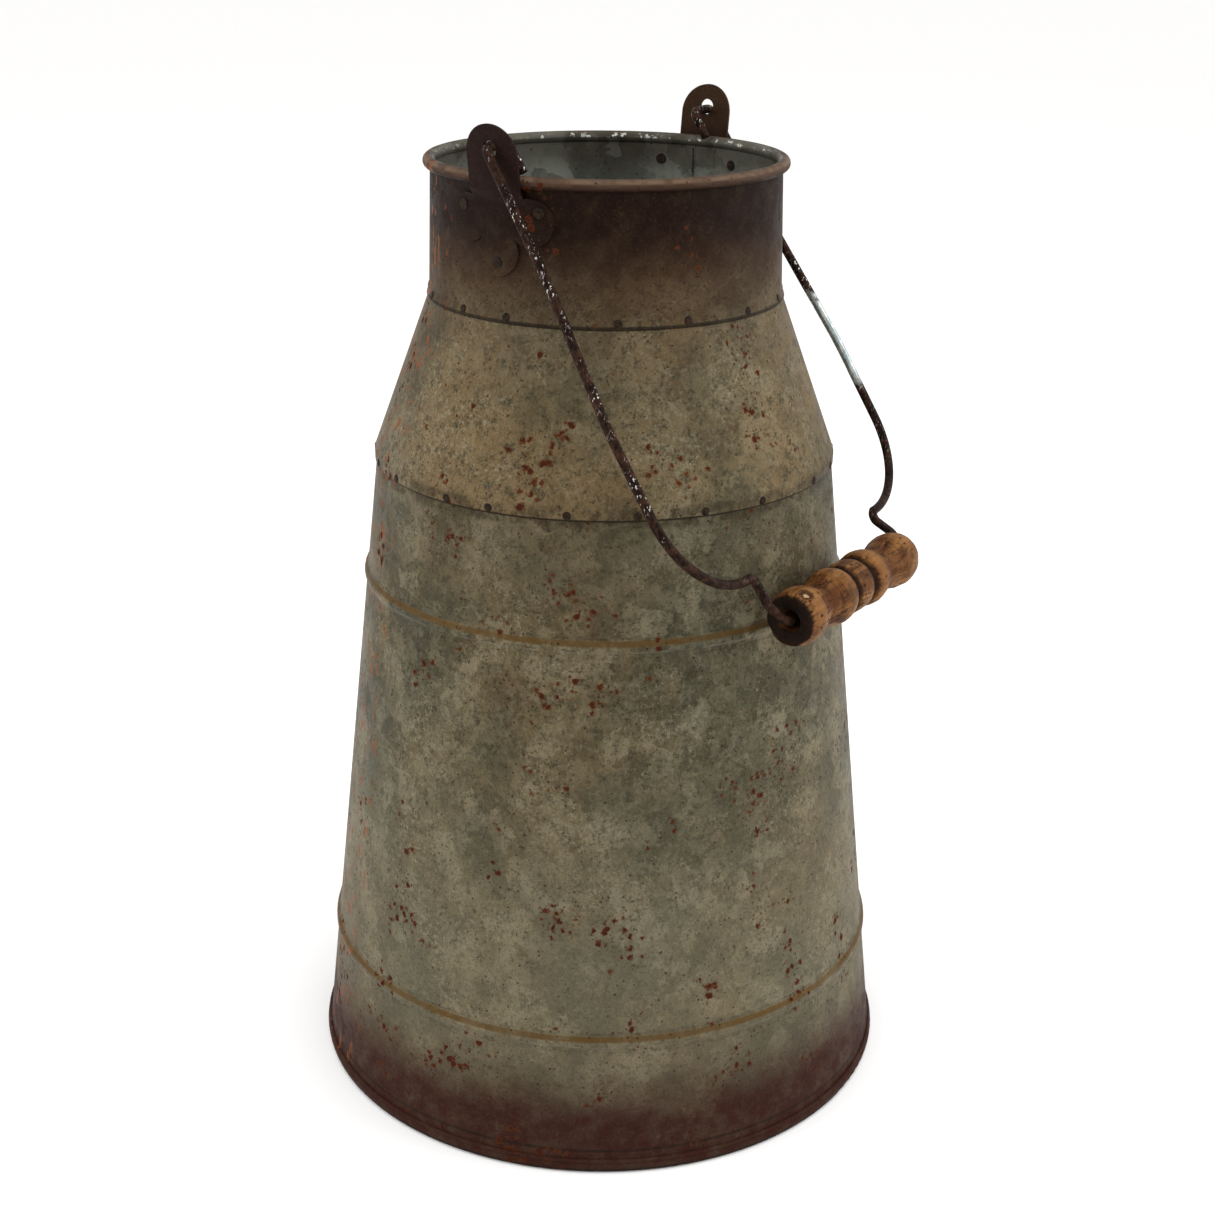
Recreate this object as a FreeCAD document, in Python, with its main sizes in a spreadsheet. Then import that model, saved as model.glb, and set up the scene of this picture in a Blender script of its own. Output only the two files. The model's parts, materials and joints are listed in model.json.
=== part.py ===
"""A sheet-metal florist bucket: tapered wall, shoulder, neck, two ears and a swinging wire bail.

Origin: the middle of the foot ring, on the floor. +Z is up, the ears are on +X and -X,
and the bail hangs towards -Y. Everything is in millimetres and degrees.
"""
import FreeCAD, Part
import math
import os
import re
import Sketcher

SIZES = {
    # sheet metal
    "sheet": 0.55,
    "lap_gap": 0.1,
    # tapered wall, measured on its outer face
    "wall_foot_radius": 107.6,
    "wall_top_radius": 81.25,
    "wall_height": 235.5,
    "bead_width": 7.0,
    "bead_rise": 1.15,
    "lower_bead_height": 49.5,
    "upper_bead_drop": 45.0,
    # base pan, seamed round the wall's lower edge
    "base_recess": 7.0,
    "foot_roll_height": 3.6,
    "foot_roll_rise": 0.85,
    "hem_height": 4.9,
    "hem_rise": 1.15,
    "hem_round": 0.8,
    # shoulder cone
    "shoulder_rise": 54.7,
    "shoulder_ledge": 0.5,
    "skirt_drop": 2.9,
    "collar_rise": 7.1,
    # neck, measured on its outer face
    "neck_foot_radius": 61.5,
    "neck_taper": 1.15,
    "neck_lift": 0.6,
    "neck_rise": 45.1,
    "flare_reach": 0.95,
    "flare_ease": 0.27,
    # rim curl
    "curl_radius": 2.1,
    "curl_offset": 0.35,
    "curl_opening": 0.15,
    # lap of the rolled sheet's two ends, on the inside
    "lap_width": 8.0,
    "lap_bearing": 6.0,
    # ears
    "ear_sheet": 0.9,
    "ear_fit": 0.08,
    "tab_half_width": 9.9,
    "tab_rise": 7.9,
    "tab_lean": 7.0,
    "tab_gap": 0.15,
    "joggle_gap": 0.5,
    "joggle_height": 3.6,
    "lobe_reach": 12.0,
    "lobe_drop": 22.7,
    "foot_lobe_drop": 10.0,
    "pivot_rise": 11.0,
    # spot welds
    "weld_radius": 1.8,
    "weld_rise": 0.3,
    "weld_fit": 0.03,
    "weld_spread": 3.5,
    "seam_weld_radius": 1.45,
    "seam_weld_crown": 1.05,
    "weld_clearance": 0.02,
    # bail wire
    "bail_wire": 3.15,
    "hole_play": 2.25,
    "hole_seat": 0.3,
    "bail_drop": 177.0,
    "rest_gap": 1.0,
    "leg_gap": 1.6,
    "leg_length": 10.5,
    "arm_gap": 1.2,
    "arm_lean": 1.9,
    "arm_lean_drop": 46.0,
    "arm_spread": 7.8,
    "arm_spread_drop": 97.0,
    "kink_margin": 0.3,
    "kink_rise": 18.5,
    "dive_gap": 2.0,
    # turned grip
    "grip_length": 80.0,
    "grip_shift": 6.7,
    "bore_play": 4.45,
    "knob_radius": 9.0,
    "waist_radius": 8.9,
    "belly_radius": 9.35,
    "ring_radius": 9.1,
    "ring_half_width": 4.2,
    "groove_width": 3.8,
    "groove_radius": 2.15,
    "belly_bulge": 11.0,
    "waist_hollow": 16.0,
    "knob_bulge": 15.0,
}

# What follows from the driving sizes: how the pieces stack, seat and clear each other.
DERIVED = {
    "wall_slope": "(wall_foot_radius - wall_top_radius) / wall_height",
    "upper_bead_height": "wall_height - upper_bead_drop",
    "shoulder_foot_height": "wall_height + lap_gap",
    "shoulder_foot_radius": "wall_top_radius + sheet + lap_gap + wall_slope * skirt_drop",
    "shoulder_top_height": "shoulder_foot_height + shoulder_rise",
    "shoulder_slope": "(shoulder_foot_radius - neck_foot_radius - shoulder_ledge) / shoulder_rise",
    "neck_bottom": "shoulder_top_height + neck_lift",
    "neck_top_radius": "neck_foot_radius - neck_taper",
    "flare_height": "(flare_reach + flare_ease) / shoulder_slope",
    "collar_top": "neck_bottom + collar_rise",
    "rim_height": "neck_bottom + neck_rise",
    "rim_radius": "neck_top_radius + curl_offset",
    "inner_curl": "curl_radius - sheet",
    "rim_wire_radius": "inner_curl - lap_gap",
    "tab_inner_radius": "rim_radius + curl_radius + tab_gap",
    "joggle_top": "rim_height - curl_radius - joggle_gap",
    "joggle_bottom": "joggle_top - joggle_height",
    "lobe_radius": "sqrt(lobe_reach ^ 2 + foot_lobe_drop ^ 2) / 2",
    "pivot_height": "rim_height + pivot_rise",
    "ear_hole": "bail_wire + hole_play",
    "hole_lift": "hole_play / 2 - hole_seat",
    "side_weld_reach": "lobe_reach + weld_spread - 0.5",
    "arm_clearance": "(tab_rise + pivot_rise) * tan(tab_lean) / 2 + arm_gap",
    "leg_reach": "rim_radius - curl_radius - leg_gap - bail_wire / 2",
    "arm_top_reach": "tab_inner_radius + ear_sheet + arm_clearance + bail_wire / 2",
    "arm_lean_reach": "arm_top_reach + arm_lean",
    "arm_spread_reach": "arm_top_reach + arm_spread",
    "kink_reach": "grip_length / 2 + kink_margin",
    "kink_drop": "bail_drop - kink_rise",
    "grip_bore": "bail_wire + bore_play",
    # The bail hangs until the grip meets the wall or the crest of the upper bead.
    "belly_chord": "grip_length / 5 - ring_half_width - groove_width",
    "belly_crown": "belly_bulge - sqrt(belly_bulge ^ 2 - belly_chord ^ 2 / 4)",
    "grip_standoff": "belly_radius + belly_crown + rest_gap",
    "slope_length": "sqrt(1 + wall_slope ^ 2)",
    "wall_reach": "wall_foot_radius - wall_slope * pivot_height + grip_standoff * slope_length",
    "wall_tilt": "atan(wall_slope) + asin(wall_reach / (bail_drop * slope_length))",
    "crest_radius": "wall_foot_radius - wall_slope * upper_bead_height + bead_rise",
    "crest_drop": "pivot_height - upper_bead_height",
    "crest_distance": "sqrt(crest_radius ^ 2 + crest_drop ^ 2)",
    "crest_cosine": "(bail_drop ^ 2 + crest_distance ^ 2 - grip_standoff ^ 2)"
                    " / (2 * bail_drop * crest_distance)",
    "crest_tilt": "atan(crest_radius / crest_drop) + acos(min(1; crest_cosine))",
    "bail_tilt": "max(wall_tilt; crest_tilt)",
}

# Bearings of the tack welds on the two seams, set by hand around the bucket.
SHOULDER_WELDS = (-173, -154, -138, -122, -106, -85, -71, -55, -39, -22, -6,
                  12, 29, 46, 62, 79, 95, 110, 126, 141, 155, 175)
NECK_WELDS = (-177, -142, -120, -96, -74, -52, -33, -12, 14, 36, 57, 80, 101, 122, 142, 165)

doc = FreeCAD.newDocument("florist_bucket")
sheet = doc.addObject("Spreadsheet::Sheet", "sizes")
for row, (alias, value) in enumerate(SIZES.items(), start=1):
    sheet.set(f"A{row}", alias)
    sheet.set(f"B{row}", str(value))
    sheet.setAlias(f"B{row}", alias)
doc.recompute()


def formula(text):
    """Point each size's name in a formula at its cell in the sheet."""
    def cell(match):
        word = match.group()
        if word in DERIVED:
            return f"({formula(DERIVED[word])})"
        return "sizes." + word if word in SIZES else word
    return re.sub(r"[a-z_]+", cell, text)


def number(text):
    """The present value of a formula."""
    return float(sheet.evalExpression(formula(text)))


# ---------------------------------------------------------------- sketches and revolved sheets

def arc_centre(start, end, radius, turn):
    """Centre of the shorter arc from start to end; turn is 1 anticlockwise, -1 clockwise."""
    chord = end - start
    half = chord.Length / 2
    height = math.sqrt(max(radius ** 2 - half ** 2, 0.0))
    left = FreeCAD.Vector(-chord.y, chord.x, 0).normalize()
    return (start + end) * 0.5 + left * height * turn


def add_edge(sketch, start, end, bend):
    """Add one straight or round edge; returns its index and which of its ends is the start."""
    if bend is None:
        return sketch.addGeometry(Part.LineSegment(start, end)), 1, 2
    radius, turn = number(bend[0]), bend[1]
    centre = arc_centre(start, end, radius, turn)
    first, last = (start, end) if turn > 0 else (end, start)
    angles = [math.atan2(point.y - centre.y, point.x - centre.x) for point in (first, last)]
    if angles[1] < angles[0]:
        angles[1] += 2 * math.pi
    circle = Part.Circle(centre, FreeCAD.Vector(0, 0, 1), radius)
    index = sketch.addGeometry(Part.ArcOfCircle(circle, *angles))
    return (index, 1, 2) if turn > 0 else (index, 2, 1)


def draw(sketch, corners):
    """Draw a closed outline. Each corner is (x, y, bend): two formulas, and the edge that
    follows, which is None for a straight one or (radius formula, turn) for a round one."""
    points = [FreeCAD.Vector(number(x), number(y), 0) for x, y, _ in corners]
    edges = []
    for place, (_, _, bend) in enumerate(corners):
        following = points[(place + 1) % len(points)]
        edges.append(add_edge(sketch, points[place], following, bend))
    for place, (x, y, bend) in enumerate(corners):
        index, first, _ = edges[place]
        before, _, last = edges[place - 1]
        sketch.addConstraint(Sketcher.Constraint("Coincident", before, last, index, first))
        for kind, text, value in (("DistanceX", x, points[place].x), ("DistanceY", y, points[place].y)):
            bound = sketch.addConstraint(Sketcher.Constraint(kind, -1, 1, index, first, value))
            sketch.setExpression(f"Constraints[{bound}]", formula(text))
        if bend is not None:
            bound = sketch.addConstraint(Sketcher.Constraint("Radius", index, number(bend[0])))
            sketch.setExpression(f"Constraints[{bound}]", formula(bend[0]))
    return sketch


def plane(body, role):
    """One of a body's own origin planes."""
    return next(item for item in body.Origin.OriginFeatures if item.Role == role)


def body_sketch(body, name, role):
    sketch = body.newObject("Sketcher::SketchObject", name)
    sketch.AttachmentSupport = [(plane(body, role), "")]
    sketch.MapMode = "FlatFace"
    return sketch


def new_body(label):
    body = doc.addObject("PartDesign::Body", label)
    body.Label = label
    return body


def turned(label, corners, axis="V_Axis"):
    """A body turned from a half section drawn in the XZ plane."""
    body = new_body(label)
    section = draw(body_sketch(body, label + "_section", "XZ_Plane"), corners)
    turn = body.newObject("PartDesign::Revolution", label + "_turn")
    turn.Profile = section
    turn.ReferenceAxis = (section, [axis])
    turn.Angle = 360
    section.Visibility = False
    doc.recompute()
    return body


def add_lap(body, corners, radius):
    """The second layer of sheet where the rolled blank's ends overlap, inside the wall."""
    section = body_sketch(body, body.Label + "_lap_section", "XZ_Plane")
    section.AttachmentOffset = FreeCAD.Placement(
        FreeCAD.Vector(), FreeCAD.Rotation(FreeCAD.Vector(0, 1, 0), 0))
    section.setExpression("AttachmentOffset.Rotation.Angle", formula("lap_bearing"))
    draw(section, corners)
    lap = body.newObject("PartDesign::Revolution", body.Label + "_lap")
    lap.Profile = section
    lap.ReferenceAxis = (section, ["V_Axis"])
    lap.Midplane = True
    lap.setExpression("Angle", formula(f"lap_width / ({radius}) * 180 / pi"))
    section.Visibility = False
    doc.recompute()


# ---------------------------------------------------------------- slopes of the three walls

def wall_at(height):
    return f"(wall_foot_radius - wall_slope * ({height}))"


def shoulder_at(height):
    return f"(shoulder_foot_radius - shoulder_slope * ({height} - shoulder_foot_height))"


def neck_at(height):
    return f"(neck_foot_radius - neck_taper * ({height} - neck_bottom) / neck_rise)"


# ---------------------------------------------------------------- the wall and its two beads

BEAD_RADIUS = "((bead_width ^ 2 / 16 + bead_rise ^ 2 / 4) / bead_rise)"


def bead(height, inset, upward):
    """A rolled bead: a hollow, a crest and a hollow of one radius, so that it runs out smoothly."""
    steps = ((-0.5, 0.0), (-0.25, 0.5), (0.25, 0.5), (0.5, 0.0))
    turns = (-1, 1, -1)
    if not upward:
        steps = steps[::-1]
        turns = (1, -1, 1)
    corners = []
    for place, (along, rise) in enumerate(steps):
        level = f"{height} + {along} * bead_width"
        bend = (BEAD_RADIUS, turns[place]) if place < 3 else None
        corners.append((f"{wall_at(level)} + {rise} * bead_rise - {inset}", level, bend))
    return corners


WALL_START = "sheet + 0.5"
wall_corners = [(wall_at(WALL_START), WALL_START, None)]
wall_corners += bead("lower_bead_height", "0", True)
wall_corners += bead("upper_bead_height", "0", True)
wall_corners += [(wall_at("wall_height"), "wall_height", None),
                 (wall_at("wall_height") + " - sheet", "wall_height", None)]
wall_corners += bead("upper_bead_height", "sheet", False)
wall_corners += bead("lower_bead_height", "sheet", False)
wall_corners += [(wall_at(WALL_START) + " - sheet", WALL_START, None)]
body_wall = turned("body_wall", wall_corners)

LAP_LOW = "base_recess + 3 * sheet"
LAP_HIGH = "wall_height - 3"
add_lap(body_wall, [
    (wall_at(LAP_LOW) + " - sheet / 2", LAP_LOW, None),
    (wall_at(LAP_HIGH) + " - sheet / 2", LAP_HIGH, None),
    (wall_at(LAP_HIGH) + " - 1.9 * sheet", LAP_HIGH, None),
    (wall_at(LAP_LOW) + " - 1.9 * sheet", LAP_LOW, None),
], "wall_top_radius")

# ---------------------------------------------------------------- the base pan and its double seam

CHANNEL = "sheet + 0.4"
INNER_FACE = "(sheet + lap_gap)"
base_pan = turned("base_pan", [
    ("0", "base_recess", None),
    (wall_at("base_recess") + f" - sheet - {INNER_FACE}", "base_recess", None),
    (wall_at("0") + f" - sheet - {INNER_FACE}", "0", None),
    (wall_at("0"), "0", ("foot_roll_height * 0.64", 1)),
    (wall_at("0") + " + foot_roll_rise", "foot_roll_height / 2", ("foot_roll_height * 0.55", 1)),
    (wall_at("foot_roll_height") + " + hem_rise - 0.3", "foot_roll_height", None),
    (wall_at("foot_roll_height + 0.4") + " + hem_rise", "foot_roll_height + 0.4", None),
    (wall_at("hem_height") + " + hem_rise", "hem_height - hem_round", ("hem_round * 1.05", 1)),
    (wall_at("hem_height") + " + hem_rise - hem_round", "hem_height", None),
    (wall_at("hem_height") + " + lap_gap / 2", "hem_height", None),
    (wall_at(CHANNEL) + " + lap_gap / 2", CHANNEL, None),
    (wall_at(CHANNEL) + f" - {INNER_FACE}", CHANNEL, None),
    (wall_at("base_recess + sheet") + f" - {INNER_FACE}", "base_recess + sheet", None),
    ("0", "base_recess + sheet", None),
])

# ---------------------------------------------------------------- shoulder cone with skirt and collar

COLLAR_RADIUS = f"({neck_at('collar_top')} - sheet - lap_gap)"
COLLAR_FOOT = f"(shoulder_foot_height + (shoulder_foot_radius - {COLLAR_RADIUS}) / shoulder_slope)"
shoulder_cone = turned("shoulder_cone", [
    ("shoulder_foot_radius", "shoulder_foot_height - skirt_drop", None),
    ("shoulder_foot_radius", "shoulder_foot_height", None),
    (COLLAR_RADIUS, COLLAR_FOOT, None),
    (COLLAR_RADIUS, "collar_top", None),
    (COLLAR_RADIUS + " - sheet", "collar_top", None),
    (COLLAR_RADIUS + " - sheet", COLLAR_FOOT + " - sheet / 5", None),
    ("shoulder_foot_radius - sheet", "shoulder_foot_height - sheet / 5", None),
    ("shoulder_foot_radius - sheet", "shoulder_foot_height - skirt_drop", None),
])
SHOULDER_LAP_LOW = "shoulder_foot_height + 4"
SHOULDER_LAP_HIGH = "shoulder_top_height - 3"
add_lap(shoulder_cone, [
    (shoulder_at(SHOULDER_LAP_LOW) + " - sheet / 2", SHOULDER_LAP_LOW, None),
    (shoulder_at(SHOULDER_LAP_HIGH) + " - sheet / 2", SHOULDER_LAP_HIGH, None),
    (shoulder_at(SHOULDER_LAP_HIGH) + " - 2 * sheet", SHOULDER_LAP_HIGH, None),
    (shoulder_at(SHOULDER_LAP_LOW) + " - 2 * sheet", SHOULDER_LAP_LOW, None),
], "neck_foot_radius")

# ---------------------------------------------------------------- neck with flared foot and curled rim



def below_centre(radius, reach):
    """Height of a circle round the curl's centre, on its lower side, at a distance from the axis."""
    return f"rim_height - sqrt({radius} ^ 2 - ({reach} - rim_radius) ^ 2)"


OUTER_TURN = ("curl_radius", -1)
INNER_TURN = ("inner_curl", 1)
CURL_END = "neck_top_radius + curl_opening"
neck_band = turned("neck_band", [
    ("neck_foot_radius + flare_reach - sheet", "neck_bottom", None),
    ("neck_foot_radius - sheet", "neck_bottom + flare_height", None),
    ("neck_top_radius - sheet", below_centre("curl_radius", "neck_top_radius - sheet"), OUTER_TURN),
    ("rim_radius - curl_radius", "rim_height", OUTER_TURN),
    ("rim_radius", "rim_height + curl_radius", OUTER_TURN),
    ("rim_radius + curl_radius", "rim_height", OUTER_TURN),
    (CURL_END, below_centre("curl_radius", CURL_END), None),
    (CURL_END, below_centre("inner_curl", CURL_END), INNER_TURN),
    ("rim_radius + inner_curl", "rim_height", INNER_TURN),
    ("rim_radius", "rim_height + inner_curl", INNER_TURN),
    ("rim_radius - inner_curl", "rim_height", INNER_TURN),
    ("neck_top_radius", below_centre("inner_curl", "neck_top_radius"), None),
    ("neck_foot_radius", "neck_bottom + flare_height", None),
    ("neck_foot_radius + flare_reach", "neck_bottom", None),
])
NECK_LAP_LOW = "collar_top + 0.5"
NECK_LAP_HIGH = "rim_height - curl_radius - 0.5"
add_lap(neck_band, [
    (neck_at(NECK_LAP_LOW) + " - sheet / 2", NECK_LAP_LOW, None),
    (neck_at(NECK_LAP_HIGH) + " - sheet / 2", NECK_LAP_HIGH, None),
    (neck_at(NECK_LAP_HIGH) + " - 1.9 * sheet", NECK_LAP_HIGH, None),
    (neck_at(NECK_LAP_LOW) + " - 1.9 * sheet", NECK_LAP_LOW, None),
], "neck_top_radius")

# The ears sit at slightly different heights: the wire hangs low in one hole and high in the other.
EAR_SETTINGS = {"ear_back": (0, "hole_lift"), "ear_front": (180, "-hole_lift")}


def ear_levels(lift):
    """Heights of one ear's features, from the height of its hole above the pivot."""
    hole = f"(pivot_height + {lift})"
    lobes = f"({hole} - lobe_drop)"
    foot_lobe = f"({lobes} - foot_lobe_drop)"
    welds = (("-side_weld_reach", f"{lobes} + weld_spread"),
             ("side_weld_reach", f"{lobes} + weld_spread"),
             ("0", f"{foot_lobe} - weld_spread"))
    return hole, lobes, foot_lobe, welds


def pierce_neck(label, bearing, lift):
    """Holes through one side of the neck, along X, for the spot welds of one ear."""
    section = body_sketch(neck_band, label + "_neck_holes", "YZ_Plane")
    for reach, height in ear_levels(lift)[3]:
        centre = FreeCAD.Vector(number(reach), number(height), 0)
        hole_radius = number("weld_radius + weld_fit")
        ring = section.addGeometry(Part.Circle(centre, FreeCAD.Vector(0, 0, 1), hole_radius))
        for kind, text, value in (("DistanceX", reach, centre.x), ("DistanceY", height, centre.y)):
            bound = section.addConstraint(Sketcher.Constraint(kind, -1, 1, ring, 3, value))
            section.setExpression(f"Constraints[{bound}]", formula(text))
        bound = section.addConstraint(Sketcher.Constraint("Radius", ring, hole_radius))
        section.setExpression(f"Constraints[{bound}]", formula("weld_radius + weld_fit"))
    whole = neck_band.Shape.Volume
    piercing = neck_band.newObject("PartDesign::Pocket", label + "_neck_piercing")
    piercing.Profile = section
    piercing.Type = "Length"
    piercing.Reversed = bearing == 0
    piercing.setExpression("Length", formula("2 * neck_foot_radius"))
    section.Visibility = False
    doc.recompute()
    assert neck_band.Shape.Volume < whole, "the weld holes cut nothing"


for label, (bearing, lift) in EAR_SETTINGS.items():
    pierce_neck(label, bearing, lift)

# ---------------------------------------------------------------- wire inside the rim

rim_wire = doc.addObject("Part::Torus", "rim_wire")
rim_wire.Label = "rim_wire"
rim_wire.setExpression("Radius1", formula("rim_radius"))
rim_wire.setExpression("Radius2", formula("rim_wire_radius"))
rim_wire.setExpression("Placement.Base.z", formula("rim_height"))

# ---------------------------------------------------------------- ears

# The outline is a round-topped tab on three touching lobes: one each side and one at the foot.
LOBE_TURN = ("lobe_radius", -1)
TAB_TURN = ("tab_half_width", -1)


def ear_outline(lift):
    hole, lobes, foot_lobe, _ = ear_levels(lift)
    tab_top = f"({hole} + tab_rise)"
    tab_bend = f"({tab_top} - tab_half_width)"
    tab_foot = f"({lobes} + sqrt(lobe_radius ^ 2 - (lobe_reach - tab_half_width) ^ 2))"
    lobe_meet = f"({lobes} - foot_lobe_drop / 2)"
    return [
        ("-tab_half_width", tab_bend, TAB_TURN),
        ("0", tab_top, TAB_TURN),
        ("tab_half_width", tab_bend, None),
        ("tab_half_width", tab_foot, LOBE_TURN),
        ("lobe_reach + lobe_radius", lobes, LOBE_TURN),
        ("lobe_reach / 2", lobe_meet, LOBE_TURN),
        ("0", f"{foot_lobe} - lobe_radius", LOBE_TURN),
        ("-lobe_reach / 2", lobe_meet, LOBE_TURN),
        ("-lobe_reach - lobe_radius", lobes, LOBE_TURN),
        ("-tab_half_width", tab_foot, None),
    ]


# In section the ear follows the neck, steps out past the rim and leans a little outwards.
EAR_LOW = "(pivot_height - hole_lift - lobe_drop - foot_lobe_drop - lobe_radius - 1)"
EAR_HIGH = "(pivot_height + hole_lift + tab_rise + 1)"
TAB_OUTWARD = f"(tab_inner_radius + ({EAR_HIGH} - joggle_top) * tan(tab_lean))"
EAR_SECTION = [
    (neck_at(EAR_LOW) + " + ear_fit", EAR_LOW, None),
    (neck_at(EAR_LOW) + " + ear_fit + ear_sheet", EAR_LOW, None),
    (neck_at("joggle_bottom") + " + ear_fit + ear_sheet", "joggle_bottom - 0.3", None),
    ("tab_inner_radius + ear_sheet", "joggle_top - 0.3", None),
    (f"{TAB_OUTWARD} + ear_sheet", EAR_HIGH, None),
    (TAB_OUTWARD, EAR_HIGH, None),
    ("tab_inner_radius", "joggle_top", None),
    (neck_at("joggle_bottom") + " + ear_fit", "joggle_bottom", None),
]


def free_sketch(name, rotation, corners):
    sketch = doc.addObject("Sketcher::SketchObject", name)
    sketch.Placement = FreeCAD.Placement(FreeCAD.Vector(), rotation)
    sketch.Visibility = False
    return draw(sketch, corners)


FACING_X = FreeCAD.Rotation(FreeCAD.Vector(1, 1, 1), 120)
FACING_Y = FreeCAD.Rotation(FreeCAD.Vector(1, 0, 0), 90)


def rod_along_x(name, reach, height, radius):
    """A round cutter or pin along +X from the bucket's axis, past the ears."""
    rod = doc.addObject("Part::Cylinder", name)
    rod.Placement.Rotation = FreeCAD.Rotation(FreeCAD.Vector(0, 1, 0), 90)
    rod.setExpression("Radius", formula(radius))
    rod.setExpression("Height", formula("tab_inner_radius + 20"))
    rod.setExpression("Placement.Base.y", formula(reach))
    rod.setExpression("Placement.Base.z", formula(height))
    rod.Visibility = False
    return rod


def joined(name, pieces):
    group = doc.addObject("Part::MultiFuse", name)
    group.Shapes = pieces
    return group


def turned_skin(name, corners):
    """A quarter turn of a thin section about the bucket's axis, centred on +X."""
    skin = doc.addObject("Part::Revolution", name)
    skin.Source = free_sketch(name + "_section", FACING_Y, corners)
    skin.Axis = FreeCAD.Vector(0, 0, 1)
    skin.Solid = True
    skin.Symmetric = True
    skin.Angle = 90
    return skin


def ear(label, bearing, lift):
    """One ear: its outline pushed through its turned section, then pierced."""
    hole, _, _, weld_places = ear_levels(lift)
    outline = doc.addObject("Part::Extrusion", label + "_blank")
    outline.Base = free_sketch(label + "_outline", FACING_X, ear_outline(lift))
    outline.DirMode = "Normal"
    outline.Solid = True
    outline.setExpression("LengthFwd", formula("tab_inner_radius + 10"))
    pressed = doc.addObject("Part::MultiCommon", label + "_pressed")
    pressed.Shapes = [outline, turned_skin(label + "_form", EAR_SECTION)]
    cutters = [rod_along_x(label + "_hole", "0", hole, "ear_hole / 2")]
    for place, (reach, height) in enumerate(weld_places):
        cutters.append(rod_along_x(f"{label}_weld_hole{place}", reach, height, "weld_radius + weld_fit"))
    pierced = doc.addObject("Part::Cut", label)
    pierced.Label = label
    pierced.Base = pressed
    pierced.Tool = joined(label + "_cutters", cutters)
    pierced.Placement.Rotation = FreeCAD.Rotation(FreeCAD.Vector(0, 0, 1), bearing)
    return pierced


def ear_welds(label, bearing, lift):
    """The three spot welds of one ear, from just inside the neck to just outside the ear."""
    weld_places = ear_levels(lift)[3]
    rods = []
    for place, (reach, height) in enumerate(weld_places):
        rods.append(rod_along_x(f"{label}_rod{place}", reach, height, "weld_radius"))
    low = f"({weld_places[2][1]} - 2 * weld_radius)"
    high = f"({weld_places[0][1]} + 2 * weld_radius)"
    welds = doc.addObject("Part::MultiCommon", label)
    welds.Label = label
    welds.Shapes = [joined(label + "_rods", rods), turned_skin(label + "_skin", [
        (neck_at(low) + " - sheet - weld_rise", low, None),
        (neck_at(low) + " + ear_fit + ear_sheet + weld_rise", low, None),
        (neck_at(high) + " + ear_fit + ear_sheet + weld_rise", high, None),
        (neck_at(high) + " - sheet - weld_rise", high, None),
    ])]
    welds.Placement.Rotation = FreeCAD.Rotation(FreeCAD.Vector(0, 0, 1), bearing)
    return welds


ear_pieces = []
for label, (bearing, lift) in EAR_SETTINGS.items():
    ear_pieces.append(ear(label, bearing, lift))
    ear_pieces.append(ear_welds(label + "_welds", bearing, lift))

# ---------------------------------------------------------------- tack welds along the two seams


def seam_welds(label, bearings, height, radius, slope):
    """Low round buttons of weld on a seam, flat on top and square to the sheet."""
    lift = math.atan(number(slope))
    dots = []
    for bearing in bearings:
        angle = math.radians(bearing)
        outward = FreeCAD.Vector(math.cos(angle), math.sin(angle), 0)
        normal = outward * math.cos(lift) + FreeCAD.Vector(0, 0, math.sin(lift))
        touch = outward * number(radius) + FreeCAD.Vector(0, 0, number(height))
        dots.append(Part.makeCone(number("seam_weld_radius"), number("seam_weld_crown"), number("weld_rise"),
                                  touch + normal * number("weld_clearance"), normal))
    group = doc.addObject("Part::Feature", label)
    group.Label = label
    group.Shape = Part.makeCompound(dots)
    return group


shoulder_welds = seam_welds("shoulder_seam_welds", SHOULDER_WELDS,
                            "shoulder_foot_height - skirt_drop / 2 + 0.1", "shoulder_foot_radius", "0")
neck_welds = seam_welds("neck_seam_welds", NECK_WELDS, "neck_bottom + flare_height / 2",
                        "neck_foot_radius + flare_reach / 2", "flare_reach / flare_height")

# ---------------------------------------------------------------- bail wire


def bent_line(points, radii):
    """Straight runs joined by tangent arcs; the first and last points take no arc."""
    edges = []
    start = points[0]
    for place in range(1, len(points) - 1):
        corner = points[place]
        back = (points[place - 1] - corner).normalize()
        ahead = (points[place + 1] - corner).normalize()
        opening = back.getAngle(ahead)
        trim = radii[place - 1] / math.tan(opening / 2)
        middle = (back + ahead).normalize() * (radii[place - 1] / math.sin(opening / 2) - radii[place - 1])
        enter = corner + back * trim
        leave = corner + ahead * trim
        edges.append(Part.LineSegment(start, enter).toShape())
        edges.append(Part.Arc(enter, corner + middle, leave).toShape())
        start = leave
    edges.append(Part.LineSegment(start, points[-1]).toShape())
    return Part.Wire(edges)


def on_bail(reach, drop):
    """A point of the bail in its own plane, X along the pivot and -Z down the bail."""
    return FreeCAD.Vector(number(reach), 0, -number(drop))


# From the front end's cut leg, through the ear, down the arm, in to the kink and along the grip.
ARM = (("leg_reach", "leg_length"), ("leg_reach", "0"), ("arm_top_reach", "0"),
       ("arm_lean_reach", "arm_lean_drop"), ("arm_spread_reach", "arm_spread_drop"),
       ("arm_spread_reach", "kink_drop"), ("kink_reach", "kink_drop"))
ELBOW = 0.87 * number("arm_spread_reach - kink_reach")
ARM_BENDS = (3.0, 3.0, 80.0, 80.0, ELBOW, 2.4)
FRONT_DIVE = (("kink_reach - 0.6", "bail_drop - 7.5"), ("grip_length / 2 - grip_shift + 1", "bail_drop"))
FRONT_BENDS = (6.0, 5.0)
BACK_DIVE = (("grip_length / 2 + grip_shift + bail_wire / 2 + dive_gap", "bail_drop - 8"),
             ("grip_length / 2 + grip_shift + bail_wire / 2 + dive_gap + 1", "bail_drop"))
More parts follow.
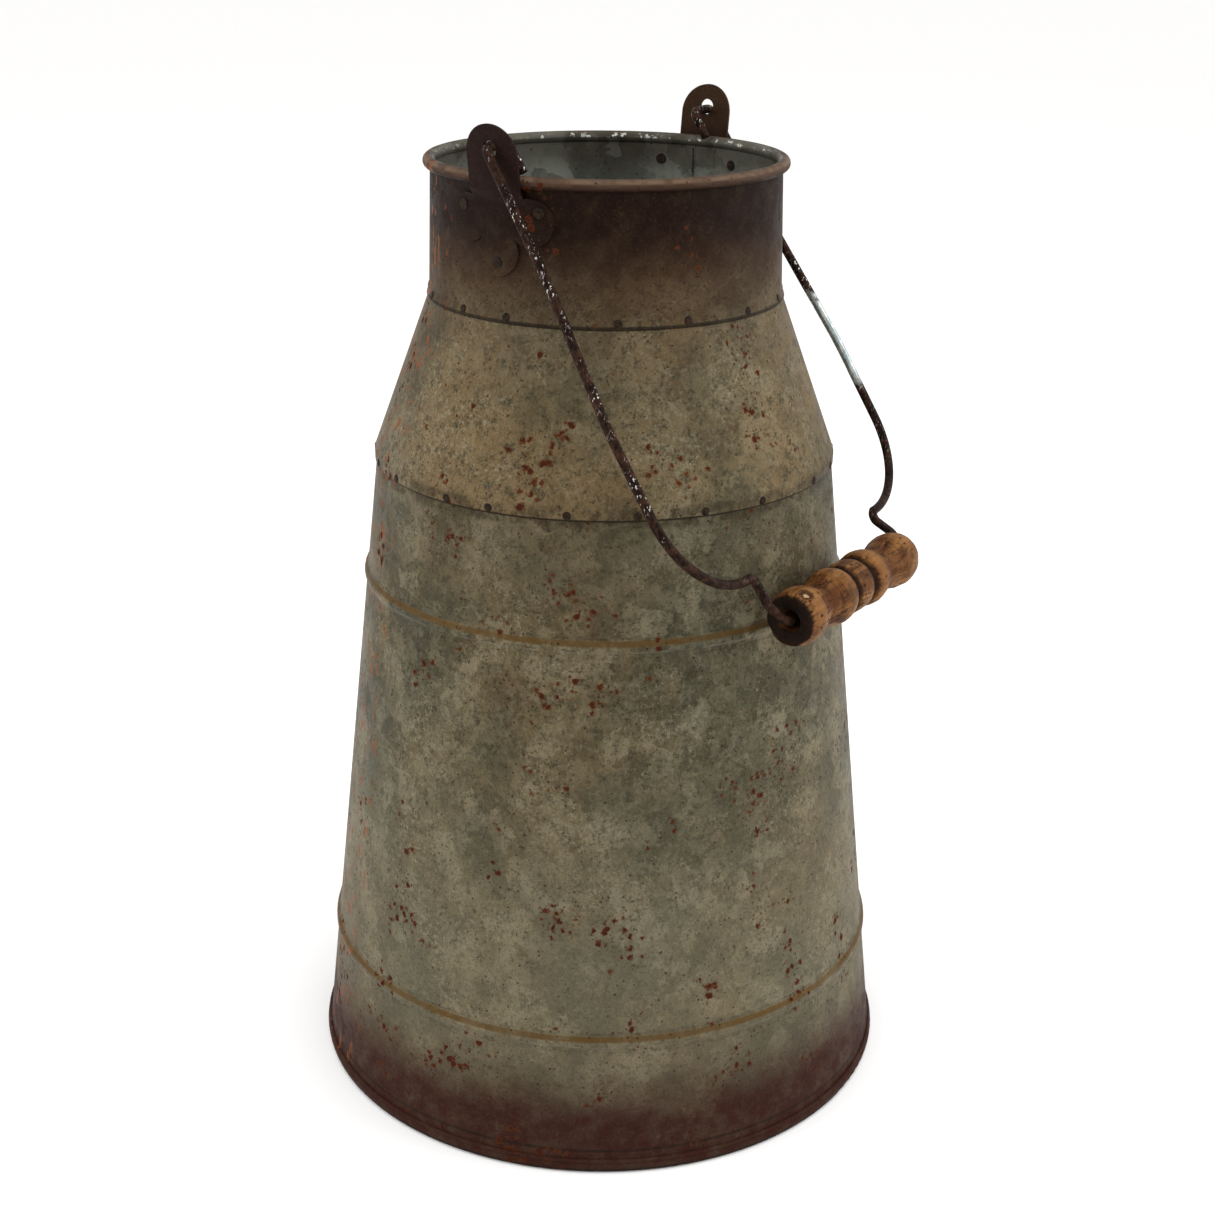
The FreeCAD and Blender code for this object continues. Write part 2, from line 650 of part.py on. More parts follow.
BACK_BENDS = (5.0, 4.0)

front_points = [on_bail(f"-({reach})", drop) for reach, drop in ARM + FRONT_DIVE]
back_points = [on_bail(reach, drop) for reach, drop in ARM + BACK_DIVE]
centreline = bent_line(front_points + back_points[::-1],
                       ARM_BENDS + FRONT_BENDS + BACK_BENDS[::-1] + ARM_BENDS[::-1])
wire_radius = number("bail_wire / 2")
end_circle = Part.Circle(front_points[0], FreeCAD.Vector(0, 0, 1), wire_radius).toShape()
bail_shape = centreline.makePipeShell([Part.Wire([end_circle])], True, True)
expected = math.pi * wire_radius ** 2 * centreline.Length
assert abs(bail_shape.Volume - expected) < 0.01 * expected, "the bail wire swept badly"
bail_wire = doc.addObject("Part::Feature", "bail_wire")
bail_wire.Label = "bail_wire"
bail_wire.Shape = bail_shape
bail_wire.Placement = FreeCAD.Placement(
    FreeCAD.Vector(0, 0, number("pivot_height")),
    FreeCAD.Rotation(FreeCAD.Vector(1, 0, 0), -number("bail_tilt")))

# ---------------------------------------------------------------- turned grip


def grip_half(side):
    """Ring, groove, belly, waist and knob from the middle to one end; side is 1 or -1."""
    outline = [
        ("ring_half_width", "ring_radius", ("groove_radius", 1)),
        ("ring_half_width + groove_width", "belly_radius", ("belly_bulge", -1)),
        ("grip_length / 5", "belly_radius - 0.2", ("waist_hollow", 1)),
        ("grip_length * 0.35", "waist_radius", ("knob_bulge", -1)),
        ("grip_length / 2 - 1.2", "knob_radius", ("1.4", -1)),
        ("grip_length / 2", "knob_radius - 1.1", None),
        ("grip_length / 2", "grip_bore / 2 + 0.5", None),
        ("grip_length / 2 - 0.5", "grip_bore / 2", None),
    ]
    if side > 0:
        return outline
    bends = [bend for _, _, bend in outline[:-1]]
    mirrored = [(f"-({x})", y, None) for x, y, _ in outline][::-1]
    return [(x, y, bend) for (x, y, _), bend in zip(mirrored, bends[::-1] + [("40", -1)])]


wooden_grip = turned("wooden_grip", grip_half(-1) + grip_half(1), axis="H_Axis")
wooden_grip.setExpression("Placement.Base.x", formula("grip_shift"))
wooden_grip.setExpression("Placement.Base.y", formula("-bail_drop * sin(bail_tilt)"))
wooden_grip.setExpression("Placement.Base.z", formula("pivot_height - bail_drop * cos(bail_tilt)"))

# ---------------------------------------------------------------- check and write

doc.recompute()
pieces = [body_wall, base_pan, shoulder_cone, neck_band, rim_wire, *ear_pieces,
          shoulder_welds, neck_welds, bail_wire, wooden_grip]
for item in doc.Objects:
    assert "Invalid" not in item.State and "Error" not in item.State, f"{item.Label} failed"
os.makedirs("parts", exist_ok=True)
for piece in pieces:
    shape = piece.Shape
    assert not shape.isNull() and shape.isValid(), f"{piece.Label} has no valid shape"
    shape.exportStep(f"parts/{piece.Label}.step")
    box = shape.optimalBoundingBox()
    print(f"{piece.Label}: {len(shape.Solids)} solid(s), {shape.Volume:.1f} mm3,"
          f" z {box.ZMin:.2f} to {box.ZMax:.2f}")
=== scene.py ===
# %% [markdown]
# # A weathered florist bucket, finished in Blender
# The bucket is a milk-can shape in thin galvanised sheet: a tapered wall with two
# rolled beads, a sloped shoulder, a short neck with a rolled rim, two ears and a wire
# bail with a turned wooden grip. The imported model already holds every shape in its
# right place, so this lesson is mostly about finishes: old zinc, rust, a dark wash,
# chipped lacquer and worn wood. We load the model first, and keep its size for later.

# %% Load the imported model
import json
import math
import random

import bmesh
import bpy
from mathutils import Matrix, Vector


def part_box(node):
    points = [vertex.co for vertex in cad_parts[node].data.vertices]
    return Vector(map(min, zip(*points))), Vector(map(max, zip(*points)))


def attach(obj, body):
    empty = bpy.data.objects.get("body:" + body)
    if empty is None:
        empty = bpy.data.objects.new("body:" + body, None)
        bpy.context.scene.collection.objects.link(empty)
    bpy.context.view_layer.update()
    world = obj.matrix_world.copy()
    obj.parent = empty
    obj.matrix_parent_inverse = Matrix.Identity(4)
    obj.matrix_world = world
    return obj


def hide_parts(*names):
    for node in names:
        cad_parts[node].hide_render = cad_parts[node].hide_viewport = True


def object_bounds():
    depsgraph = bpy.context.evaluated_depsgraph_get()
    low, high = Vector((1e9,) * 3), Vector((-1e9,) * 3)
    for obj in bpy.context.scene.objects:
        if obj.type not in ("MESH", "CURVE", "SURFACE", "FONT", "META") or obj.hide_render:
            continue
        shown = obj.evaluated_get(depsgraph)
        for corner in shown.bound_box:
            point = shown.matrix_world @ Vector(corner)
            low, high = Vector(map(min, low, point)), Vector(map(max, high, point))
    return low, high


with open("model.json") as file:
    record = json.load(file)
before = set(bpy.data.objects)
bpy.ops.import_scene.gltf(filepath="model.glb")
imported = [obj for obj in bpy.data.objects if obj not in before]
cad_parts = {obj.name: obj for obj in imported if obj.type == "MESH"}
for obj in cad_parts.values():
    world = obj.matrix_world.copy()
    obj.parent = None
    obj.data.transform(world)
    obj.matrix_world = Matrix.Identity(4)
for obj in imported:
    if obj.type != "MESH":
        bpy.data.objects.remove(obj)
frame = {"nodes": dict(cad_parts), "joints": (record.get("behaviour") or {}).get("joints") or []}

cad_low, cad_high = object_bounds()
print("the bucket spans", [round(v, 4) for v in cad_high - cad_low], "metres")

# %% [markdown]
# ## The viewpoint
# A camera is placed by where it stands and where it looks. This one stands a little
# higher than the rim, in front and to the left of the bucket, and looks down by about
# 21 degrees with a moderately long lens, so that the sides stay nearly parallel.

# %% Camera
STAND = Vector((-0.5523, -0.3767, 0.4281))
HEADING, LOOK_DOWN, ROLL = math.radians(-55.834), math.radians(20.97), math.radians(0.522)
camera_data = bpy.data.cameras.new("camera")
camera_data.lens = 56.96
camera_data.sensor_width = 36.0
camera_data.clip_start, camera_data.clip_end = 0.02, 50.0
camera = bpy.data.objects.new("camera", camera_data)
turn = (Matrix.Rotation(HEADING, 4, "Z") @ Matrix.Rotation(math.pi / 2 - LOOK_DOWN, 4, "X")
        @ Matrix.Rotation(ROLL, 4, "Z"))
camera.matrix_world = Matrix.Translation(STAND) @ turn
bpy.context.scene.collection.objects.link(camera)
bpy.context.scene.camera = camera
print("camera stands", round(STAND.xy.length, 3), "m from the bucket's axis")

# %% [markdown]
# ## Floor and light
# A light tent: a pale floor, a white surround that fills every shadow, and soft boxes
# at both sides and above. The sides of a round metal thing then come out brighter than
# its middle, which shows its shape. The surround is a World shader, and its Light Path
# node lets the camera see clean white while the bucket itself gets a slightly warm light.

# %% Floor and surround
FLOOR_HALF, FLOOR_GAP = 24.0, 0.0002
PAPER_WHITE, TENT_LIGHT, TENT_TINT = (0.97, 0.97, 0.97, 1), 1.02, (1.0, 0.995, 0.985, 1)
floor_mesh = bpy.data.meshes.new("floor")
floor_mesh.from_pydata([(-FLOOR_HALF, -FLOOR_HALF, 0), (FLOOR_HALF, -FLOOR_HALF, 0),
                        (FLOOR_HALF, FLOOR_HALF, 0), (-FLOOR_HALF, FLOOR_HALF, 0)], [], [(0, 1, 2, 3)])
floor = bpy.data.objects.new("floor", floor_mesh)
floor.location.z = cad_low.z - FLOOR_GAP
bpy.context.scene.collection.objects.link(floor)

paper = bpy.data.materials.new("studio paper")
paper.use_nodes = True
paper_shader = paper.node_tree.nodes["Principled BSDF"]
paper_shader.inputs["Base Color"].default_value = PAPER_WHITE
paper_shader.inputs["Roughness"].default_value = 0.9
paper_shader.inputs["Specular IOR Level"].default_value = 0.1
floor_mesh.materials.append(paper)

world = bpy.data.worlds.new("light tent")
world.use_nodes = True
bpy.context.scene.world = world
tent = world.node_tree
tent.nodes["Background"].inputs["Color"].default_value = TENT_TINT
tent.nodes["Background"].inputs["Strength"].default_value = TENT_LIGHT
seen = tent.nodes.new("ShaderNodeBackground")
seen.inputs["Color"].default_value = (1, 1, 1, 1)
seen.inputs["Strength"].default_value = 1.0
path = tent.nodes.new("ShaderNodeLightPath")
choose = tent.nodes.new("ShaderNodeMixShader")
tent.links.new(path.outputs["Is Camera Ray"], choose.inputs[0])
tent.links.new(tent.nodes["Background"].outputs[0], choose.inputs[1])
tent.links.new(seen.outputs[0], choose.inputs[2])
tent.links.new(choose.outputs[0], tent.nodes["World Output"].inputs["Surface"])
bpy.context.scene.view_settings.view_transform = "Standard"

# %% Soft boxes
MIDDLE = (cad_low + cad_high) / 2


def soft_box(name, bearing, height, distance, size, power):
    """A square area light on a ring round the bucket; bearing 0 is the camera's side."""
    lamp = bpy.data.lights.new(name, "AREA")
    lamp.size = size
    lamp.energy = power
    holder = bpy.data.objects.new(name, lamp)
    toward = Vector((STAND.x, STAND.y, 0)).normalized()
    toward.rotate(Matrix.Rotation(math.radians(bearing), 3, "Z"))
    holder.location = toward * distance + Vector((0, 0, height))
    holder.rotation_mode = "QUATERNION"
    holder.rotation_quaternion = (MIDDLE - holder.location).to_track_quat("-Z", "Y")
    bpy.context.scene.collection.objects.link(holder)


soft_box("left box", bearing=-82, height=0.75, distance=1.3, size=1.1, power=7)
soft_box("right box", bearing=88, height=0.75, distance=1.3, size=1.1, power=10)
soft_box("top box", bearing=20, height=1.7, distance=0.35, size=1.2, power=6)
print("three soft boxes, aimed at", [round(v, 3) for v in MIDDLE])

# %% [markdown]
# ## A small bench of helpers
# Shader nodes are wired by hand in the editor. In a script, a few short helpers keep it
# readable: add a node and feed its inputs, do a sum, blend two colours, stretch a value
# between two limits, and make or shift a noise.

# %% Node helpers


class Bench:
    """Adds nodes to one tree; a fed value is either a plain number or another node's output."""

    def __init__(self, tree):
        self.tree = tree

    def feed(self, socket, value):
        if isinstance(value, bpy.types.NodeSocket):
            self.tree.links.new(value, socket)
        elif socket.type == "RGBA" and len(value) == 3:
            socket.default_value = (*value, 1)
        else:
            socket.default_value = value

    def add(self, kind, feeds=(), **settings):
        node = self.tree.nodes.new(kind)
        for name, value in settings.items():
            setattr(node, name, value)
        for name, value in dict(feeds).items():
            self.feed(node.inputs[name], value)
        return node

    def sum(self, operation, first, second=0.0, third=0.0, clamp=False):
        node = self.add("ShaderNodeMath", {0: first, 1: second, 2: third}, operation=operation)
        node.use_clamp = clamp
        return node.outputs[0]

    def both(self, first, second):
        return self.sum("MULTIPLY", first, second)

    def either(self, first, second):
        return self.sum("MAXIMUM", first, second)

    def less(self, first, second):
        return self.sum("SUBTRACT", first, second, clamp=True)

    def reach(self, value, low, high, out_low=0.0, out_high=1.0):
        """Stretches value smoothly so that low gives out_low and high gives out_high."""
        node = self.add("ShaderNodeMapRange", {"Value": value, "From Min": low, "From Max": high,
                                               "To Min": out_low, "To Max": out_high})
        node.interpolation_type = "SMOOTHSTEP"
        return node.outputs[0]

    def blend(self, amount, first, second):
        node = self.add("ShaderNodeMix", data_type="RGBA")
        self.feed(node.inputs[0], amount)
        self.feed(node.inputs[6], first)
        self.feed(node.inputs[7], second)
        return node.outputs[2]

    def noise(self, position, scale, detail=3.0, roughness=0.55):
        node = self.add("ShaderNodeTexNoise", {"Vector": position, "Scale": scale, "Detail": detail,
                                               "Roughness": roughness})
        return node.outputs["Fac"]

    def stretch(self, position, across, shift=(0, 0, 0)):
        """Scales a position unevenly, so that a texture read there comes out drawn out."""
        node = self.add("ShaderNodeMapping", {"Vector": position, "Scale": across, "Location": shift})
        return node.outputs[0]

    def wobble(self, position, scale, amount):
        """Pushes a position about by noise, which makes the edges of a pattern ragged."""
        cloud = self.add("ShaderNodeTexNoise", {"Vector": position, "Scale": scale, "Detail": 2.0})
        centred = self.add("ShaderNodeVectorMath", {0: cloud.outputs["Color"], 1: (0.5, 0.5, 0.5)},
                           operation="SUBTRACT")
        push = self.add("ShaderNodeVectorMath", {0: centred.outputs[0]}, operation="SCALE")
        self.feed(push.inputs["Scale"], amount)
        moved = self.add("ShaderNodeVectorMath", {0: position, 1: push.outputs[0]}, operation="ADD")
        return moved.outputs[0]


def effect(name, takes, gives):
    """Starts a node group with named inputs and outputs, and returns its bench and its two ends."""
    group = bpy.data.node_groups.new(name, "ShaderNodeTree")
    for label, (kind, value) in takes.items():
        socket = group.interface.new_socket(label, in_out="INPUT", socket_type=kind)
        if value is not None:
            socket.default_value = value
    for label, kind in gives.items():
        group.interface.new_socket(label, in_out="OUTPUT", socket_type=kind)
    start = group.nodes.new("NodeGroupInput")
    end = group.nodes.new("NodeGroupOutput")
    return group, Bench(group), start.outputs, end.inputs


def use(bench, group, **values):
    """Places an effect in a material with its own values; underscores stand for spaces."""
    node = bench.add("ShaderNodeGroup", node_tree=group)
    for label, value in values.items():
        bench.feed(node.inputs[label.replace("_", " ")], value)
    return node.outputs


NUMBER, PLACE = "NodeSocketFloat", "NodeSocketVector"

# %% [markdown]
# ## Effect: zinc spangle
# Hot zinc freezes on the sheet in flat crystals, and age dulls each one differently, so
# old galvanising looks like a patchwork of soft grey-green shapes one or two centimetres
# wide. A Voronoi texture gives every cell its own random value, and pushing the position
# about by noise first makes the cell edges feathery instead of straight.

# %% Zinc spangle
spangle, make, taken, given = effect("zinc spangle", {
    "Position": (PLACE, None), "Patch Size": (NUMBER, 0.010), "Ragged": (NUMBER, 0.010)},
    {"Patch": NUMBER, "Flake": NUMBER, "Grain": NUMBER})
finer = make.sum("DIVIDE", 1.0, taken["Patch Size"])
ragged = make.wobble(taken["Position"], 90.0, taken["Ragged"])
ragged = make.wobble(ragged, 520.0, 0.0034)
patches = make.add("ShaderNodeTexVoronoi", {"Vector": ragged, "Scale": finer})
patch_tone = make.add("ShaderNodeSeparateColor", {"Color": patches.outputs["Color"]}).outputs[0]
flakes = make.add("ShaderNodeTexVoronoi", {"Vector": ragged, "Scale": make.both(finer, 1.9)})
flake_tone = make.add("ShaderNodeSeparateColor", {"Color": flakes.outputs["Color"]}).outputs[1]
cloud = make.noise(taken["Position"], 34.0, 7.0, 0.68)
make.feed(given["Patch"], make.sum("MULTIPLY_ADD", cloud, 0.78, make.both(patch_tone, 0.22)))
make.feed(given["Flake"], flake_tone)
make.feed(given["Grain"], make.noise(taken["Position"], 1100.0, 4.0, 0.75))
print("made", spangle.name)

# %% [markdown]
# ## Effect: rust bloom
# Rust starts at pinholes in the zinc. It comes in clusters of ragged spots a millimetre or
# three wide, dark at the heart, with a brown stain round them. A broad noise says where
# the clusters are, Voronoi cells give each pinhole its own size, and a fine noise frays
# the edges.

# %% Rust bloom
rust, make, taken, given = effect("rust bloom", {
    "Position": (PLACE, None), "Cluster Size": (NUMBER, 0.022), "Spot Size": (NUMBER, 0.0024),
    "Amount": (NUMBER, 0.5)}, {"Spots": NUMBER, "Heart": NUMBER, "Stain": NUMBER, "Specks": NUMBER})
where = make.noise(make.stretch(taken["Position"], (1, 1, 1), (0.31, 0.17, 0.05)),
                   make.sum("DIVIDE", 1.0, taken["Cluster Size"]), 3.0, 0.5)
cluster = make.reach(where, make.sum("MULTIPLY_ADD", taken["Amount"], -0.2, 0.68),
                     make.sum("MULTIPLY_ADD", taken["Amount"], -0.2, 0.8))
fine = make.noise(make.wobble(taken["Position"], 600.0, 0.0016),
                  make.sum("DIVIDE", 1.9, taken["Spot Size"]), 3.5, 0.65)
pinholes = make.add("ShaderNodeTexVoronoi", {"Vector": make.wobble(taken["Position"], 700.0, 0.0012),
                                             "Scale": make.sum("DIVIDE", 1.0, taken["Spot Size"])})
luck = make.add("ShaderNodeSeparateColor", {"Color": pinholes.outputs["Color"]}).outputs[0]
spread = make.both(make.reach(luck, 0.45, 1.0, 0.0, 0.62), cluster)
ragged_edge = make.sum("MULTIPLY_ADD", fine, 1.3, -0.65)
outside_by = make.sum("ADD", make.sum("SUBTRACT", pinholes.outputs["Distance"], spread), ragged_edge)
grown = make.reach(spread, 0.06, 0.12)
make.feed(given["Spots"], make.both(make.reach(outside_by, 0.03, -0.03), grown))
make.feed(given["Heart"], make.both(make.reach(outside_by, -0.06, -0.2), grown))
make.feed(given["Stain"], make.both(make.reach(outside_by, 0.28, 0.04), grown))
specks = make.add("ShaderNodeTexVoronoi", {"Vector": make.wobble(taken["Position"], 900.0, 0.001),
                                           "Scale": 620.0})
chance = make.add("ShaderNodeSeparateColor", {"Color": specks.outputs["Color"]}).outputs[2]
wanted = make.sum("GREATER_THAN", chance, make.sum("MULTIPLY_ADD", cluster, -0.5, 0.87))
make.feed(given["Specks"], make.both(make.reach(specks.outputs["Distance"], 0.33, 0.16), wanted))
print("made", rust.name)

# %% [markdown]
# ## Effect: fade and ring line
# The dark wash was sprayed on at the foot and at the mouth, so it is solid at one height
# and gone at another. Grease and rust also keep to the beads and the seams as thin
# broken rings, and the same rings also carry painted highlights and painted shadow lines.
# Both effects only need the height of the point, roughened by noise.

# %% Fade and ring line
fade, make, taken, given = effect("sprayed fade", {
    "Position": (PLACE, None), "Full At": (NUMBER, 0.03), "Gone At": (NUMBER, 0.05),
    "Ragged": (NUMBER, 0.01)}, {"Mask": NUMBER})
height = make.add("ShaderNodeSeparateXYZ", {"Vector": taken["Position"]}).outputs[2]
drift = make.sum("SUBTRACT", make.noise(taken["Position"], 55.0, 5.0, 0.65), 0.5)
height = make.sum("MULTIPLY_ADD", drift, taken["Ragged"], height)
make.feed(given["Mask"], make.reach(height, taken["Gone At"], taken["Full At"]))

ring, make, taken, given = effect("ring line", {
    "Position": (PLACE, None), "Height": (NUMBER, 0.05), "Width": (NUMBER, 0.001),
    "Broken": (NUMBER, 0.3)}, {"Mask": NUMBER})
height = make.add("ShaderNodeSeparateXYZ", {"Vector": taken["Position"]}).outputs[2]
away = make.sum("ABSOLUTE", make.sum("SUBTRACT", height, taken["Height"]))
line = make.reach(make.sum("DIVIDE", away, taken["Width"]), 1.0, 0.35)
gaps = make.reach(make.noise(taken["Position"], 130.0, 4.0, 0.7), 0.36, 0.6)
kept = make.sum("SUBTRACT", 1.0, make.both(make.sum("SUBTRACT", 1.0, gaps), taken["Broken"]))
make.feed(given["Mask"], make.both(line, kept))
print("made", fade.name, "and", ring.name)

# %% [markdown]
# ## Effect: chipped coat
# Lacquer on a thin wire or a sharp rim breaks off in small flakes and shows bright metal.
# A drawn-out noise with a hard threshold gives flakes that run along the piece.

# %% Chipped coat
chips, make, taken, given = effect("chipped coat", {
    "Position": (PLACE, None), "Flake Size": (NUMBER, 0.002), "Amount": (NUMBER, 0.3)},
    {"Bare": NUMBER, "Edge": NUMBER})
torn = make.noise(taken["Position"], make.sum("DIVIDE", 1.0, taken["Flake Size"]), 3.0, 0.62)
level = make.sum("MULTIPLY_ADD", taken["Amount"], -0.4, 0.78)
make.feed(given["Bare"], make.reach(torn, level, make.sum("ADD", level, 0.03)))
make.feed(given["Edge"], make.reach(torn, make.sum("SUBTRACT", level, 0.06), level))
print("made", chips.name)

# %% [markdown]
# ## Finish: antiqued zinc
# The wall, the shoulder and the neck are one sheet finish in three moods, so one recipe
# builds all their materials. It goes in the order in which the real surface came about:
# zinc patches, grime, the sprayed wash, lines on beads and seams, and rust on top; the lines
# mix real dirt with painted highlights and painted shadow lines.
# First come the colours, named for what they are on the bucket.

# %% Colours of the sheet
ZINC_DARK, ZINC_MID, ZINC_PALE = (0.034, 0.031, 0.018), (0.080, 0.072, 0.042), (0.200, 0.180, 0.120)
KHAKI, GREY_GREEN = (0.140, 0.094, 0.045), (0.074, 0.083, 0.061)
COLD_DARK, COLD_PALE = (0.090, 0.094, 0.075), (0.260, 0.270, 0.225)
LIP_SHADE, KNOCKED_BRIGHT_AND_HIGHLIGHT = (0.034, 0.024, 0.015), (0.50, 0.50, 0.46)
RUST, RUST_HEART, RUST_STAIN = (0.078, 0.0175, 0.0052), (0.022, 0.007, 0.004), (0.060, 0.026, 0.010)
ORANGE, ORANGE_RUN = (0.20, 0.056, 0.012), (0.180, 0.050, 0.010)
print("sheet colours named")


# %% Small material helpers
def start_material(name):
    """A material with its bench, its texture coordinates and its Principled shader."""
    material = bpy.data.materials.new(name)
    material.use_nodes = True
    bench = Bench(material.node_tree)
    places = bench.add("ShaderNodeTexCoord").outputs
    return material, bench, places, material.node_tree.nodes["Principled BSDF"]


def bump(bench, shader, height, distance, strength=1.0):
    """Raises the surface by a height between 0 and 1, times a distance in metres."""
    node = bench.add("ShaderNodeBump", {"Height": height, "Strength": strength, "Distance": distance})
    bench.feed(shader.inputs["Normal"], node.outputs[0])


def inside_of(bench, places):
    """1 where the surface faces the bucket's axis, so 1 on the inside of the sheet."""
    flat = bench.add("ShaderNodeVectorMath", {0: places["Object"], 1: (1, 1, 0)}, operation="MULTIPLY")
    outward = bench.add("ShaderNodeVectorMath", {0: flat.outputs[0], 1: places["Normal"]},
                        operation="DOT_PRODUCT")
    return bench.sum("LESS_THAN", outward.outputs["Value"], -0.02)


# %% Zinc patches and grime
def aged_zinc(bench, position, metal, khaki, pale):
    """The bare sheet's colour; khaki and pale say how much of each tone it has."""
    color = bench.blend(bench.reach(metal["Patch"], 0.40, 0.49), ZINC_DARK, ZINC_MID)
    color = bench.blend(bench.both(bench.reach(metal["Patch"], 0.51, 0.62), pale), color, ZINC_PALE)
    color = bench.blend(bench.reach(metal["Flake"], 0.74, 0.79, 0.0, 0.30), color, ZINC_PALE)
    color = bench.blend(bench.reach(metal["Flake"], 0.30, 0.25, 0.0, 0.46), color, ZINC_DARK)
    hue = bench.reach(bench.noise(position, 17.0, 4.0, 0.6), 0.36, 0.62, 0.4 * khaki, 1.0)
    color = bench.blend(bench.both(hue, khaki), color, KHAKI)
    green = 0.42 * (1.0 - khaki) + 0.08
    color = bench.blend(bench.sum("MULTIPLY_ADD", hue, -green, green), color, GREY_GREEN)
    grime = bench.reach(bench.noise(position, 260.0, 7.0, 0.9), 0.48, 0.61, 0.0, 0.92)
    color = bench.blend(grime, color, ZINC_DARK)
    scuffed_area = bench.reach(bench.noise(position, 33.0, 3.0, 0.6), 0.44, 0.62, 0.25, 1.0)
    scuffs = bench.reach(bench.noise(position, 560.0, 6.0, 0.9), 0.50, 0.62, 0.0, 0.95)
    return bench.blend(bench.both(scuffs, scuffed_area), color, ZINC_PALE)


# %% Sprayed washes
def sprayed(bench, position, outside, metal, color, washes):
    """Lays each wash over the colour; also gives how much wash there is at a point."""
    total = 0.0
    for full_at, gone_at, uneven, depth, wash_color in washes:
        mist = use(bench, fade, Position=position, Full_At=full_at, Gone_At=gone_at, Ragged=uneven)
        thin = bench.reach(bench.noise(position, 140.0, 6.0, 0.75), 0.3, 0.6, 0.78, 1.0)
        amount = bench.both(bench.both(bench.both(mist["Mask"], depth), outside), thin)
        color = bench.blend(amount, color, wash_color)
        total = bench.either(total, amount)
    color = bench.blend(bench.reach(metal["Grain"], 0.53, 0.64, 0.0, 0.08), color, KHAKI)
    color = bench.blend(bench.reach(metal["Grain"], 0.47, 0.38, 0.0, 0.35), color, RUST_HEART)
    return color, total


# %% The cold inside
LIP_FADE, CREST_ABOVE_LIP, CREST_WIDTH, KNOCK_SIZE = 0.013, 0.0046, 0.0011, 0.0030


def inner_sheet(bench, position, metal, lip):
    """The inside's cooler zinc; below the lip it gets painted shade, and its crest a painted highlight mixed
    with bright knocks.
    """
    cold = bench.blend(bench.reach(metal["Patch"], 0.36, 0.62), COLD_DARK, COLD_PALE)
    if lip is None:
        return cold
    # painted shade on the inside just below the lip
    shade = use(bench, fade, Position=position, Full_At=lip, Gone_At=lip - LIP_FADE, Ragged=0.012)
    cold = bench.blend(bench.both(shade["Mask"], 0.7), cold, LIP_SHADE)
    knocks = use(bench, chips, Position=position, Flake_Size=KNOCK_SIZE, Amount=0.52)["Bare"]
    # painted highlight along the inner crest, mixed with bright knocked chips
    crest = use(bench, ring, Position=position, Height=lip + CREST_ABOVE_LIP, Width=CREST_WIDTH,
                Broken=0.8)["Mask"]
    return bench.blend(bench.both(knocks, crest), cold, KNOCKED_BRIGHT_AND_HIGHLIGHT)


# %% Orange runs and rust
STREAK_BEARING = math.radians(136)


def orange_runs(bench, position, outside, color):
    """Short orange runs, only on the side that stood in the wet."""
    flat = bench.add("ShaderNodeVectorMath", {0: position, 1: (1, 1, 0)}, operation="MULTIPLY")
    bearing = bench.add("ShaderNodeVectorMath", {0: flat.outputs[0]}, operation="NORMALIZE")
    wet_side = (math.cos(STREAK_BEARING), math.sin(STREAK_BEARING), 0)
    facing = bench.add("ShaderNodeVectorMath", {0: bearing.outputs[0], 1: wet_side},
                       operation="DOT_PRODUCT")
    run_side = bench.reach(facing.outputs["Value"], 0.93, 0.975)
    runs = bench.noise(bench.stretch(position, (1.0, 1.0, 0.45)), 300.0, 2.5, 0.5)
    runs = bench.both(bench.both(bench.reach(runs, 0.585, 0.64), run_side), outside)
    return bench.blend(bench.both(runs, 0.8), color, ORANGE_RUN)


def rusted(bench, position, bloom, color):
    """Stain, specks, spots and dark hearts, in that order, over the colour."""
    color = bench.blend(bench.both(bloom["Stain"], 0.4), color, RUST_STAIN)
    color = bench.blend(bench.both(bloom["Specks"], 0.75), color, RUST_HEART)
    warmth = bench.reach(bench.noise(position, 34.0, 2.0), 0.57, 0.72, 0.0, 0.35)
    spot_color = bench.blend(warmth, RUST, ORANGE)
    color = bench.blend(bench.both(bloom["Spots"], 0.9), color, spot_color)
    return bench.blend(bench.both(bloom["Heart"], 0.7), color, RUST_HEART)


# %% The whole sheet recipe
SHEET_METALLIC, SHEET_ROUGHNESS, SHEET_RELIEF = 0.38, 0.5, 0.00024


